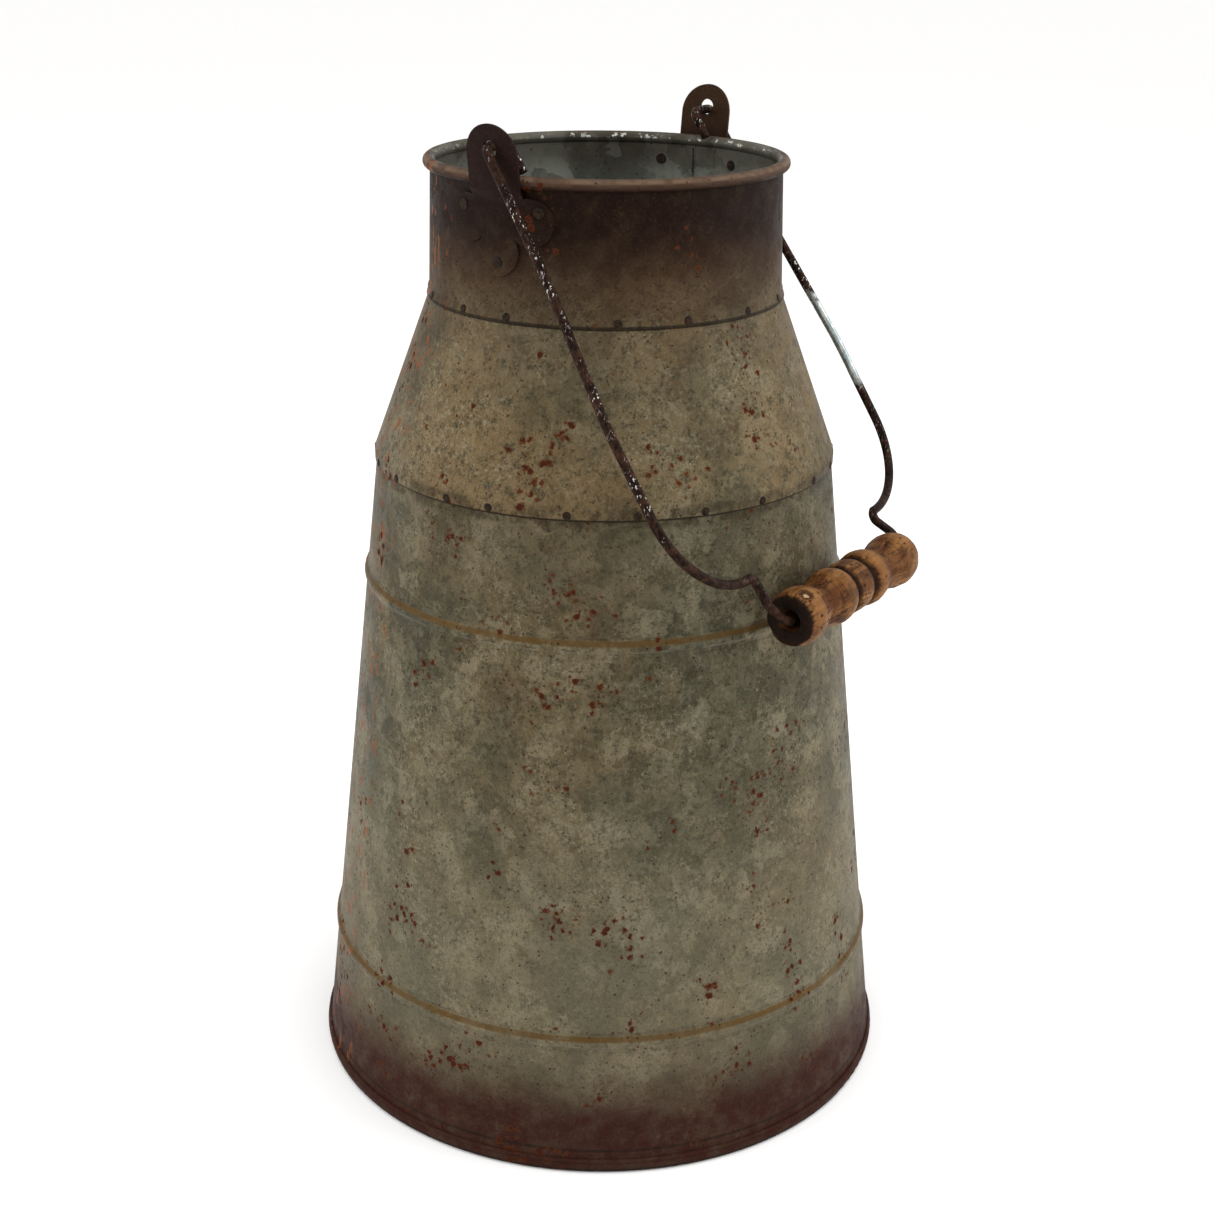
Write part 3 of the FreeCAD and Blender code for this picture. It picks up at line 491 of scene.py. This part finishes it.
def zinc(name, khaki, pale, washes, lines, rust_amount, lip=None, bare_inside=True):
    """One sheet finish. washes are (full at, gone at, ragged, depth, colour); lines are
    (height, width, broken, colour, depth); lip is the height where the inside goes dark."""
    material, bench, places, shader = start_material(name)
    position = places["Object"]
    inside = inside_of(bench, places) if bare_inside else 0.0
    outside = bench.sum("SUBTRACT", 1.0, inside)
    metal = use(bench, spangle, Position=position)
    color = aged_zinc(bench, position, metal, khaki, pale)
    color, wash_total = sprayed(bench, position, outside, metal, color, washes)
    color = bench.blend(inside, color, inner_sheet(bench, position, metal, lip))
    for line_height, width, broken, line_color, depth in lines:
        drawn = use(bench, ring, Position=position, Height=line_height, Width=width, Broken=broken)
        color = bench.blend(bench.both(bench.both(drawn["Mask"], depth), outside), color, line_color)
    bloom = use(bench, rust, Position=position,
                Amount=bench.sum("MULTIPLY_ADD", inside, -0.35, rust_amount))
    color = orange_runs(bench, position, outside, color)
    color = rusted(bench, position, bloom, color)
    bench.feed(shader.inputs["Base Color"], color)
    dull = bench.either(bloom["Spots"], bloom["Specks"])
    covered = bench.either(dull, bench.both(wash_total, SHEET_METALLIC))
    bench.feed(shader.inputs["Metallic"], bench.less(SHEET_METALLIC, covered))
    rough = bench.reach(metal["Flake"], 0.0, 1.0, SHEET_ROUGHNESS - 0.04, SHEET_ROUGHNESS + 0.12)
    bench.feed(shader.inputs["Roughness"], bench.sum("MULTIPLY_ADD", dull, 0.3, rough))
    shader.inputs["Specular IOR Level"].default_value = 0.04
    relief = bench.sum("MULTIPLY_ADD", metal["Grain"], 0.45, bloom["Spots"])
    relief = bench.sum("MULTIPLY_ADD", bench.noise(position, 28.0, 2.0), 2.5, relief)
    bump(bench, shader, relief, SHEET_RELIEF, 0.6)
    return material


# %% [markdown]
# ## Where the lines and washes go
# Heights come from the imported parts: a seam is where one part's box ends, and the beads
# are where the wall stands proud of a straight taper, found from its own vertices.

# %% Measure seams and beads
BEADS, BEAD_SPACING = 2, 0.02
wall_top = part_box("body_wall")[1].z
shoulder_foot, shoulder_top = (corner.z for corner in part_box("shoulder_cone"))
neck_foot, neck_top = (corner.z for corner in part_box("neck_band"))
foot_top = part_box("base_pan")[1].z


def bead_heights(part, count):
    """Heights at which the part's outside stands furthest from a straight line up its side."""
    widest = {}
    for vertex in part.data.vertices:
        level = round(vertex.co.z, 4)
        widest[level] = max(widest.get(level, 0.0), vertex.co.xy.length)
    levels = sorted(widest)
    first, last = levels[1], levels[-1]
    slope = (widest[last] - widest[first]) / (last - first)
    proud = {z: widest[z] - widest[first] - slope * (z - first) for z in levels}
    found = []
    for z in sorted(proud, key=proud.get, reverse=True):
        if len(found) < count and all(abs(z - other) > BEAD_SPACING for other in found):
            found.append(z)
    return sorted(found)


lower_bead, upper_bead = bead_heights(frame["nodes"]["body_wall"], BEADS)
print("beads at", lower_bead, upper_bead, "- seams at", round(wall_top, 4), round(neck_foot, 4))

# %% [markdown]
# ## Wall and foot
# Dirt sits in the upper root of each bead, with a painted highlight on its lower flank and a
# darker line below it; the seams get painted shadow lines, with a darker band along the shoulder seam.
# The wash was sprayed on from below, so it is solid at the foot and thins out upwards.

# %% Wall and foot materials
BEAD_HALF = 0.0022
WASH, WASH_THIN_TOP = (0.029, 0.0078, 0.0055), (0.048, 0.042, 0.027)
OCHRE, PAINTED_SHADOW_LINE, BEAD_HIGHLIGHT = (0.080, 0.045, 0.014), (0.008, 0.006, 0.0045), (0.30, 0.28, 0.22)
DIRT, UNDER_BEAD_DARK, SEAM_DARK_BAND = (0.03, 0.022, 0.012), (0.03, 0.024, 0.014), (0.028, 0.020, 0.011)
FOOT_EDGE = (0.060, 0.024, 0.014)
WASH_SOLID, WASH_GONE = 0.017, 0.042


def bead_lines(height):
    """Ochre along the bead's upper root with thin dirt above it, a painted highlight on its lower flank and
    a darker line below that.
    """
    return [(height + BEAD_HALF * 0.7, 0.0013, 0.3, OCHRE, 0.95),
            (height + BEAD_HALF * 1.4, 0.0006, 0.8, DIRT, 0.35),
            # painted highlight on the bead's lower flank
            (height - BEAD_HALF * 0.7, 0.0006, 1.0, BEAD_HIGHLIGHT, 0.16),
            # darker line just below the bead
            (height - BEAD_HALF * 1.6, 0.0008, 0.9, UNDER_BEAD_DARK, 0.22)]


wall_finish = zinc(
    "zinc on the wall", khaki=0.45, pale=0.75, rust_amount=0.66,
    washes=[(lower_bead + 0.01, upper_bead - 0.02, 0.06, 0.30, ZINC_PALE),
            (WASH_SOLID, WASH_GONE, 0.020, 0.98, WASH),
            (lower_bead - 0.01, lower_bead + 0.01, 0.03, 0.15, WASH),
            (wall_top + 0.01, wall_top - 0.05, 0.03, 0.40, WASH_THIN_TOP)],
    lines=[*bead_lines(lower_bead), *bead_lines(upper_bead),
           # painted shadow line under the shoulder's lapped edge
           (shoulder_foot - 0.0001, 0.0006, 0.1, PAINTED_SHADOW_LINE, 0.9),
           # darker band just below the shoulder seam
           (shoulder_foot - 0.0010, 0.0030, 1.0, SEAM_DARK_BAND, 0.6),
           # painted shadow line where the wall meets the foot's hem
           (foot_top + 0.0004, 0.0008, 0.3, PAINTED_SHADOW_LINE, 0.6)])
foot_finish = zinc(
    "dark wash on the foot seam", khaki=0.3, pale=0.3, rust_amount=0.35,
    washes=[(0.03, 0.06, 0.01, 0.98, WASH)],
    # the second line is painted shadow along the foot's bottom edge at the floor
    lines=[(foot_top, 0.0010, 0.7, FOOT_EDGE, 0.45), (0.0, 0.0022, 0.2, PAINTED_SHADOW_LINE, 0.8)])
print("the foot's wash is solid up to", WASH_SOLID, "and gone at", WASH_GONE)

# %% [markdown]
# ## Shoulder, neck and ears
# The mouth was sprayed too, darkest under the rim. The rim's curl is copper brown with a painted
# highlight along its top and dark brown with painted shade under it, and the two ears took the
# spray differently, so each has its own; the front ear's near-black is partly painted shade.

# %% Shoulder, neck and ear materials
SHOULDER_WASH, NECK_WASH, WASH_DEEP = (0.05, 0.034, 0.021), (0.029, 0.0135, 0.0075), (0.0066, 0.0024, 0.0017)
RIM_COPPER_AND_HIGHLIGHT, RIM_BROWN_AND_SHADE = (0.135, 0.086, 0.056), (0.034, 0.017, 0.011)
FRONT_EAR_WASH_AND_SHADE, BACK_EAR_WASH = (0.0125, 0.0058, 0.0050), (0.036, 0.018, 0.0085)
LIP_BELOW_TOP = 0.006
NECK_WASHES = [(neck_foot + 0.022, neck_foot - 0.026, 0.03, 0.93, NECK_WASH),
               (neck_top - 0.014, neck_top - 0.036, 0.02, 0.93, WASH_DEEP)]

shoulder_finish = zinc(
    "zinc on the shoulder", khaki=0.85, pale=0.85, rust_amount=0.70,
    washes=[(shoulder_top, neck_foot - 0.028, 0.03, 0.45, SHOULDER_WASH)],
    # painted shadow lines at the shoulder's lapped edge and under the neck's edge
    lines=[(shoulder_foot, 0.0005, 0.1, PAINTED_SHADOW_LINE, 0.9),
           # darker band just above the shoulder seam
           (shoulder_foot + 0.0020, 0.0030, 1.0, SEAM_DARK_BAND, 0.55),
           (neck_foot - 0.0004, 0.0004, 0.1, PAINTED_SHADOW_LINE, 0.8)])
neck_finish = zinc(
    "zinc on the neck", khaki=0.8, pale=0.5, rust_amount=0.62, washes=NECK_WASHES,
    # painted shadow line under the neck's lapped edge
    lines=[(neck_foot + 0.0002, 0.0008, 0.1, PAINTED_SHADOW_LINE, 0.8),
           # copper brown rim with a painted highlight along its top
           (neck_top - 0.0013, 0.0019, 0.45, RIM_COPPER_AND_HIGHLIGHT, 0.9),
           # dark brown with painted shade under the rim's curl
           (neck_top - 0.0024, 0.0014, 0.55, RIM_BROWN_AND_SHADE, 0.9)],
    lip=neck_top - LIP_BELOW_TOP)
front_ear_finish = zinc(
    "dark wash and painted shade on the front ear", khaki=0.8, pale=0.4, rust_amount=0.4,
    # the tab's near-black is partly dark wash, partly painted shade on its outward-leaning face
    washes=[*NECK_WASHES, (neck_top - 0.006, neck_top - 0.012, 0.01, 0.95, FRONT_EAR_WASH_AND_SHADE)],
    lines=[], bare_inside=False)
back_ear_finish = zinc(
    "brown wash on the back ear", khaki=0.9, pale=0.4, rust_amount=0.4,
    washes=[*NECK_WASHES, (neck_top + 0.006, neck_top - 0.004, 0.01, 0.95, BACK_EAR_WASH)],
    lines=[], bare_inside=False)
for node_name, finish in (("body_wall", wall_finish), ("shoulder_cone", shoulder_finish),
                          ("neck_band", neck_finish), ("base_pan", foot_finish),
                          ("ear_front", front_ear_finish), ("ear_back", back_ear_finish)):
    frame["nodes"][node_name].material_slots[0].material = finish
print("six sheet finishes from one recipe")

# %% [markdown]
# ## Finish: weld metal
# Each tack weld is a burnt button of steel, darker than the zinc, with a rusty bloom. It
# only needs two browns, rough noise between them, and a coarse relief.

# %% Weld metal
BURNT_BLACK, BURNT_BROWN, WELD_RELIEF = (0.0060, 0.0040, 0.0028), (0.034, 0.020, 0.011), 0.0003
weld, bench, places, shader = start_material("burnt weld metal")
burnt = bench.reach(bench.noise(places["Object"], 700.0, 4.0, 0.7), 0.35, 0.65)
bench.feed(shader.inputs["Base Color"], bench.blend(burnt, BURNT_BLACK, BURNT_BROWN))
bench.feed(shader.inputs["Roughness"], bench.reach(burnt, 0.0, 1.0, 0.5, 0.8))
shader.inputs["Specular IOR Level"].default_value = 0.08
bump(bench, shader, burnt, WELD_RELIEF)
WELD_NODES = ("ear_front_welds", "ear_back_welds", "shoulder_seam_welds", "neck_seam_welds")
for node_name in WELD_NODES:
    frame["nodes"][node_name].material_slots[0].material = weld
print("weld metal on", len(WELD_NODES), "sets of welds")

# %% [markdown]
# ## Finish: lacquered wire
# The bail was dipped in dark brown lacquer. It has chipped off in short bright flakes
# on its upper side, and one stretch of the back arm is rubbed bare. The flakes are drawn
# out along the wire by reading the noise at a position that is squeezed in height. Near
# the grip the wire is seldom knocked, so the flakes stop a little above it.

# %% Where the lacquer is gone
bail_low, bail_high = (corner.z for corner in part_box("bail_wire"))
bail_depth = bail_high - bail_low
RUB_TOP, RUB_FOOT = bail_high - 0.44 * bail_depth, bail_high - 0.61 * bail_depth
CALM_BELOW, CHIPPED_ABOVE = bail_low + 0.028, bail_low + 0.05
KNOCKED_FROM, FLAKE_LENGTH = (-0.62, -0.1, 0.78), 0.00075
wire, bench, places, shader = start_material("chipped wire lacquer")
position = places["Object"]
drawn_out = bench.stretch(position, (1.0, 1.0, 0.42))
flakes = use(bench, chips, Position=drawn_out, Flake_Size=FLAKE_LENGTH, Amount=0.47)
worn_areas = bench.reach(bench.noise(position, 75.0, 3.0, 0.6), 0.46, 0.56)
spot = bench.add("ShaderNodeSeparateXYZ", {"Vector": position}).outputs
upward = bench.add("ShaderNodeVectorMath", {0: places["Normal"], 1: KNOCKED_FROM},
                   operation="DOT_PRODUCT").outputs["Value"]
arms_only = bench.reach(spot[2], CALM_BELOW, CHIPPED_ABOVE, 0.08, 1.0)
knocked_side = bench.both(bench.reach(upward, 0.1, 0.6), arms_only)
bare = bench.both(bench.both(flakes["Bare"], worn_areas), knocked_side)
on_back_arm = bench.sum("GREATER_THAN", spot[0], 0.0)
ragged_height = bench.sum("MULTIPLY_ADD", bench.noise(position, 300.0, 3.0), 0.012, spot[2])
rubbed = bench.both(bench.reach(ragged_height, RUB_FOOT, RUB_FOOT + 0.006),
                    bench.reach(ragged_height, RUB_TOP + 0.008, RUB_TOP + 0.003))
rubbed = bench.both(rubbed, on_back_arm)
print("the bail is", round(bail_depth, 4), "m deep; its bare stretch runs from", round(RUB_TOP, 4),
      "down to", round(RUB_FOOT, 4))

# %% Lacquered wire
LACQUER, LACQUER_BROWN = (0.0070, 0.0032, 0.0022), (0.034, 0.0145, 0.0080)
LACQUER_EDGE, BRIGHT, BLUE_STEEL = (0.080, 0.040, 0.022), (0.56, 0.56, 0.53), (0.24, 0.30, 0.31)
WIRE_RELIEF = 0.00035
cloudy = bench.reach(bench.noise(position, 260.0, 4.0, 0.65), 0.4, 0.66)
coat = bench.blend(cloudy, LACQUER, LACQUER_BROWN)
coat = bench.blend(bench.both(flakes["Edge"], 0.25), coat, LACQUER_EDGE)
coat = bench.blend(bench.either(bare, bench.both(rubbed, 0.9)), coat, BRIGHT)
cool = bench.both(rubbed, bench.reach(bench.noise(drawn_out, 350.0, 3.0), 0.4, 0.6, 0.3, 0.9))
coat = bench.blend(cool, coat, BLUE_STEEL)
bench.feed(shader.inputs["Base Color"], coat)
shiny = bench.either(bare, rubbed)
bench.feed(shader.inputs["Metallic"], bench.both(shiny, 0.85))
bench.feed(shader.inputs["Roughness"], bench.reach(shiny, 0.0, 1.0, 0.5, 0.3))
shader.inputs["Specular IOR Level"].default_value = 0.05
lumps = bench.sum("MULTIPLY_ADD", shiny, -0.6, bench.noise(position, 420.0, 3.0))
bump(bench, shader, lumps, WIRE_RELIEF)
for node_name in ("bail_wire", "rim_wire"):
    frame["nodes"][node_name].material_slots[0].material = wire
print("lacquer on the bail and on the wire in the rim")

# %% [markdown]
# ## The turned grip
# The grip was turned on a lathe from one piece of wood, then bored along its length. The
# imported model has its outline, so we read radius against length from its own vertices and
# turn it again with many more facets. That leaves room for what makes wood look handled:
# it is a little out of round, it has dings, a chip is gone from the front knob and worms
# have bored holes. Only material is taken away, so it still clears the wire.

# %% Read the grip's outline
SKIN_OVER_BORE, OUTLINE_STEPS, GROOVE_DEPTH = 0.0005, 400, 0.0008
spin = next(joint for joint in frame["joints"] if joint["name"] == "grip_spin")
AXIS_Y, AXIS_Z = spin["pos_m"][1], spin["pos_m"][2]
skin, bore = {}, 1.0
for vertex in frame["nodes"]["wooden_grip"].data.vertices:
    radius = math.hypot(vertex.co.y - AXIS_Y, vertex.co.z - AXIS_Z)
    along = round(vertex.co.x, 5)
    skin[along] = max(skin.get(along, 0.0), radius)
    bore = min(bore, radius)
stations = sorted(x for x in skin if skin[x] > bore + SKIN_OVER_BORE)
grip_start, grip_end = stations[0], stations[-1]
grip_length, widest_radius = grip_end - grip_start, max(skin.values())
print("grip from", grip_start, "to", grip_end, "- bore radius", round(bore, 5),
      "- widest", round(widest_radius, 5))


def skin_radius(x):
    """The outline's radius at x, between the nearest two measured stations."""
    for left, right in zip(stations, stations[1:]):
        if left <= x <= right:
            share = (x - left) / (right - left)
            return skin[left] * (1 - share) + skin[right] * share
    return skin[grip_end]


middle_x = (grip_start + grip_end) / 2
samples = [middle_x + grip_length * (step / OUTLINE_STEPS - 0.2) for step in range(161)]
grooves = [x for before, x, after in zip(samples, samples[1:], samples[2:])
           if skin_radius(x) <= skin_radius(before) and skin_radius(x) < skin_radius(after)]
grooves = [x for x in grooves if skin_radius(x) < widest_radius - GROOVE_DEPTH]
print("grooves at", [round(x, 4) for x in grooves])

# %% Wear on the wood
WORM_HOLES, WORM_DEPTH, WORM_END_GAP, DINGS = 26, 0.0009, 0.004, 38
random.seed(11)
worm_holes = [(random.uniform(grip_start + WORM_END_GAP, grip_end - WORM_END_GAP),
               random.uniform(0, math.tau), random.uniform(0.00045, 0.0008))
              for _ in range(WORM_HOLES)]
dings = [(random.uniform(grip_start, grip_end), random.uniform(0, math.tau),
          random.uniform(0.0015, 0.0035), random.uniform(0.00012, 0.0004)) for _ in range(DINGS)]
CHIP_X, CHIP_ANGLE = grip_start + 0.0046, math.radians(112)
CHIP_SIZE, CHIP_DEPTH = 0.0021, 0.0011
OUT_OF_ROUND, LATHE_RIPPLE, GRAIN_RIDGE = 0.00010, 0.00004, 0.00005


def loss(x, angle, radius):
    """How much wood is missing at a point of the outline."""
    gone = OUT_OF_ROUND * (1 + math.sin(2 * angle + 0.7)) + LATHE_RIPPLE * (1 + math.sin(x * 2600))
    ridges = (1 + math.sin(angle * 17 + 40 * x)) * (1 + math.sin(angle * 41 + 90 * x)) / 2
    gone += GRAIN_RIDGE * ridges
    for where_x, where_angle, size in worm_holes:
        around = math.remainder(angle - where_angle, math.tau) * radius
        away = math.hypot(x - where_x, around)
        gone += WORM_DEPTH * max(0.0, 1 - (away / size) ** 4) if away < size else 0.0
    for where_x, where_angle, size, depth in dings:
        around = math.remainder(angle - where_angle, math.tau) * radius
        away = math.hypot((x - where_x) * 0.6, around) / size
        gone += depth * (1 - away) ** 2 * (3 - 2 * (1 - away)) if away < 1 else 0.0
    around = math.remainder(angle - CHIP_ANGLE, math.tau) * radius
    away = math.hypot((x - CHIP_X) * 0.8, around) / CHIP_SIZE
    gone += CHIP_DEPTH * (1 - away * away) if away < 1 else 0.0
    return gone


print(len(worm_holes), "worm holes,", len(dings), "dings and a chip at", round(CHIP_X, 4))

# %% Turn the outside
RINGS, FACETS, END_ROUND = 170, 120, 0.0009
grip_form = bmesh.new()


def grip_vertex(x, radius, angle):
    return grip_form.verts.new((x, AXIS_Y + radius * math.cos(angle), AXIS_Z + radius * math.sin(angle)))


facet_angles = [math.tau * facet / FACETS for facet in range(FACETS)]
outer_rings = []
for step in range(RINGS + 1):
    x = grip_start + grip_length * step / RINGS
    into_edge = max(0.0, END_ROUND - min(x - grip_start, grip_end - x))
    eased = END_ROUND - math.sqrt(max(0.0, END_ROUND ** 2 - into_edge ** 2))
    turned_radius = skin_radius(x) - eased
    outer_rings.append([grip_vertex(x, turned_radius - loss(x, angle, turned_radius), angle)
                        for angle in facet_angles])
print("turned", len(outer_rings), "rings of", FACETS, "facets")

# %% Dish the ends and join the bore
# Each row is (share of the way out from the bore, depth below the end).
END_ROWS = ((0.75, 0.00010), (0.5, 0.00025), (0.25, 0.0004), (0.06, 0.0005), (0.0, 0.0011))
CRACK_WIDE, CRACK_FINE = 0.00012, 0.00010


def end_rows(edge, inward):
    """Rows from the end's outer edge to its bore, slightly dished, with radial drying cracks."""
    rows = []
    for share, sink in END_ROWS:
        row = []
        for corner, angle in zip(edge, facet_angles):
            edge_radius = math.hypot(corner.co.y - AXIS_Y, corner.co.z - AXIS_Z)
            crack = CRACK_WIDE * math.sin(angle * 9 + share * 4) + CRACK_FINE * math.sin(angle * 23)
            row.append(grip_vertex(corner.co.x + inward * (sink + max(0.0, crack)),
                                   bore + (edge_radius - bore) * share, angle))
        rows.append(row)
    return rows


loops = [*reversed(end_rows(outer_rings[0], 1)), *outer_rings, *end_rows(outer_rings[-1], -1)]
for row, following in zip(loops, loops[1:] + loops[:1]):
    for facet in range(FACETS):
        ahead = (facet + 1) % FACETS
        grip_form.faces.new((row[facet], row[ahead], following[ahead], following[facet]))
bmesh.ops.recalc_face_normals(grip_form, faces=grip_form.faces)
grip_mesh = bpy.data.meshes.new("turned_grip")
grip_form.to_mesh(grip_mesh)
grip_form.free()
for face in grip_mesh.polygons:
    face.use_smooth = True
turned_grip = bpy.data.objects.new("turned_grip", grip_mesh)
bpy.context.scene.collection.objects.link(turned_grip)
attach(turned_grip, "grip")
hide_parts("wooden_grip")
print("turned grip:", len(grip_mesh.polygons), "faces")

# %% [markdown]
# ## Finish: stained and handled wood
# Grain runs along the grip, so its noise is stretched along the length and fine across
# it, and the lathe left faint rings the other way. Stain lies dark in the grooves, worm
# holes and end grain, and hands have rubbed the swellings pale again. How far a point is
# from the grip's own axis tells grooves from swellings.

# %% Grain and lathe rings
WOOD, WOOD_PALE, WOOD_DARK = (0.098, 0.033, 0.0085), (0.235, 0.106, 0.031), (0.024, 0.0075, 0.0025)
wood, bench, places, shader = start_material("handled wood")
position = places["Object"]
ragged = bench.wobble(position, 120.0, 0.0015)
fibres = bench.noise(bench.stretch(ragged, (0.06, 1.0, 1.0)), 900.0, 4.0, 0.65)
bands = bench.noise(bench.stretch(position, (0.16, 1.0, 1.0)), 170.0, 3.0, 0.6)
timber = bench.blend(bench.reach(bands, 0.40, 0.66), WOOD, WOOD_PALE)
timber = bench.blend(bench.reach(fibres, 0.48, 0.64, 0.0, 0.85), timber, WOOD_DARK)
lathe_marks = bench.noise(bench.stretch(position, (1.0, 0.07, 0.07)), 1300.0, 3.0, 0.7)
timber = bench.blend(bench.reach(lathe_marks, 0.54, 0.68, 0.0, 0.55), timber, WOOD_DARK)
timber = bench.blend(bench.reach(lathe_marks, 0.44, 0.32, 0.0, 0.35), timber, WOOD_PALE)
print("grain runs along x, lathe rings across it")

# %% Stain in the hollows, hands on the swellings
GROOVE_STAIN, GROOVE_EDGE, GROOVE_CORE, BAND_DRIFT = (0.0075, 0.0030, 0.0016), 0.0034, 0.0016, 0.0016
spot = bench.add("ShaderNodeSeparateXYZ", {"Vector": position}).outputs
off_y, off_z = bench.sum("SUBTRACT", spot[1], AXIS_Y), bench.sum("SUBTRACT", spot[2], AXIS_Z)
from_axis = bench.sum("SQRT", bench.sum("ADD", bench.both(off_y, off_y), bench.both(off_z, off_z)))
uneven_depth = bench.sum("MULTIPLY_ADD", bands, 0.0008, from_axis)
stained = bench.reach(uneven_depth, widest_radius - 0.0008, widest_radius - 0.0026)
timber = bench.blend(bench.both(stained, 0.45), timber, WOOD_DARK)
groove_mask = 0.0
for groove_x in (grooves[0], grooves[-1]):
    aside = bench.sum("ABSOLUTE", bench.sum("SUBTRACT", spot[0], groove_x))
    aside = bench.sum("MULTIPLY_ADD", bands, BAND_DRIFT, aside)
    groove_mask = bench.either(groove_mask, bench.reach(aside, GROOVE_EDGE, GROOVE_CORE))
timber = bench.blend(bench.both(groove_mask, 0.93), timber, GROOVE_STAIN)
handled = bench.reach(from_axis, widest_radius - 0.0009, widest_radius)
rubbed_fibres = bench.reach(fibres, 0.3, 0.6, 0.2, 0.75)
timber = bench.blend(bench.both(handled, rubbed_fibres), timber, WOOD_PALE)
print("stain in", len((grooves[0], grooves[-1])), "grooves; hands reach radius", round(widest_radius, 4))

# %% Worm holes, the chip and the burnt ends
CHAR, FRESH_WOOD = (0.0045, 0.0028, 0.0020), (0.52, 0.35, 0.20)
holes = bench.add("ShaderNodeTexVoronoi", {"Vector": bench.stretch(position, (0.55, 1, 1)), "Scale": 330.0})
pits = bench.reach(holes.outputs["Distance"], 0.17, 0.09)
timber = bench.blend(bench.both(pits, 0.85), timber, CHAR)
smudge = bench.reach(bench.noise(position, 110.0, 5.0, 0.75), 0.49, 0.66, 0.0, 0.6)
timber = bench.blend(smudge, timber, WOOD_DARK)
chip_radius = skin_radius(CHIP_X)
chip_place = (CHIP_X, AXIS_Y + chip_radius * math.cos(CHIP_ANGLE),
              AXIS_Z + chip_radius * math.sin(CHIP_ANGLE))
chip_away = bench.add("ShaderNodeVectorMath", {0: bench.wobble(position, 900.0, 0.0012), 1: chip_place},
                      operation="DISTANCE").outputs["Value"]
timber = bench.blend(bench.reach(chip_away, 0.0034, 0.0020, 0.0, 0.75), timber, WOOD_DARK)
timber = bench.blend(bench.reach(chip_away, 0.0015, 0.0011, 0.0, 0.95), timber, FRESH_WOOD)
end_gap = bench.sum("MINIMUM", bench.sum("SUBTRACT", spot[0], grip_start),
                    bench.sum("SUBTRACT", grip_end, spot[0]))
burnt_end = bench.reach(bench.sum("MULTIPLY_ADD", bands, 0.0012, end_gap), 0.0022, 0.0009)
timber = bench.blend(bench.both(burnt_end, 0.93), timber, CHAR)
print("the chip sits at radius", round(chip_radius, 5))

# %% Handled wood
WOOD_RELIEF = 0.00045
bench.feed(shader.inputs["Base Color"], timber)
bench.feed(shader.inputs["Roughness"], bench.reach(bench.either(stained, burnt_end), 0.0, 1.0, 0.48, 0.72))
shader.inputs["Specular IOR Level"].default_value = 0.06
relief = bench.less(bench.sum("MULTIPLY_ADD", lathe_marks, 0.3, fibres), bench.both(pits, 0.8))
bump(bench, shader, relief, WOOD_RELIEF, 1.0)
grip_mesh.materials.append(wood)
print("handled wood on", turned_grip.name)
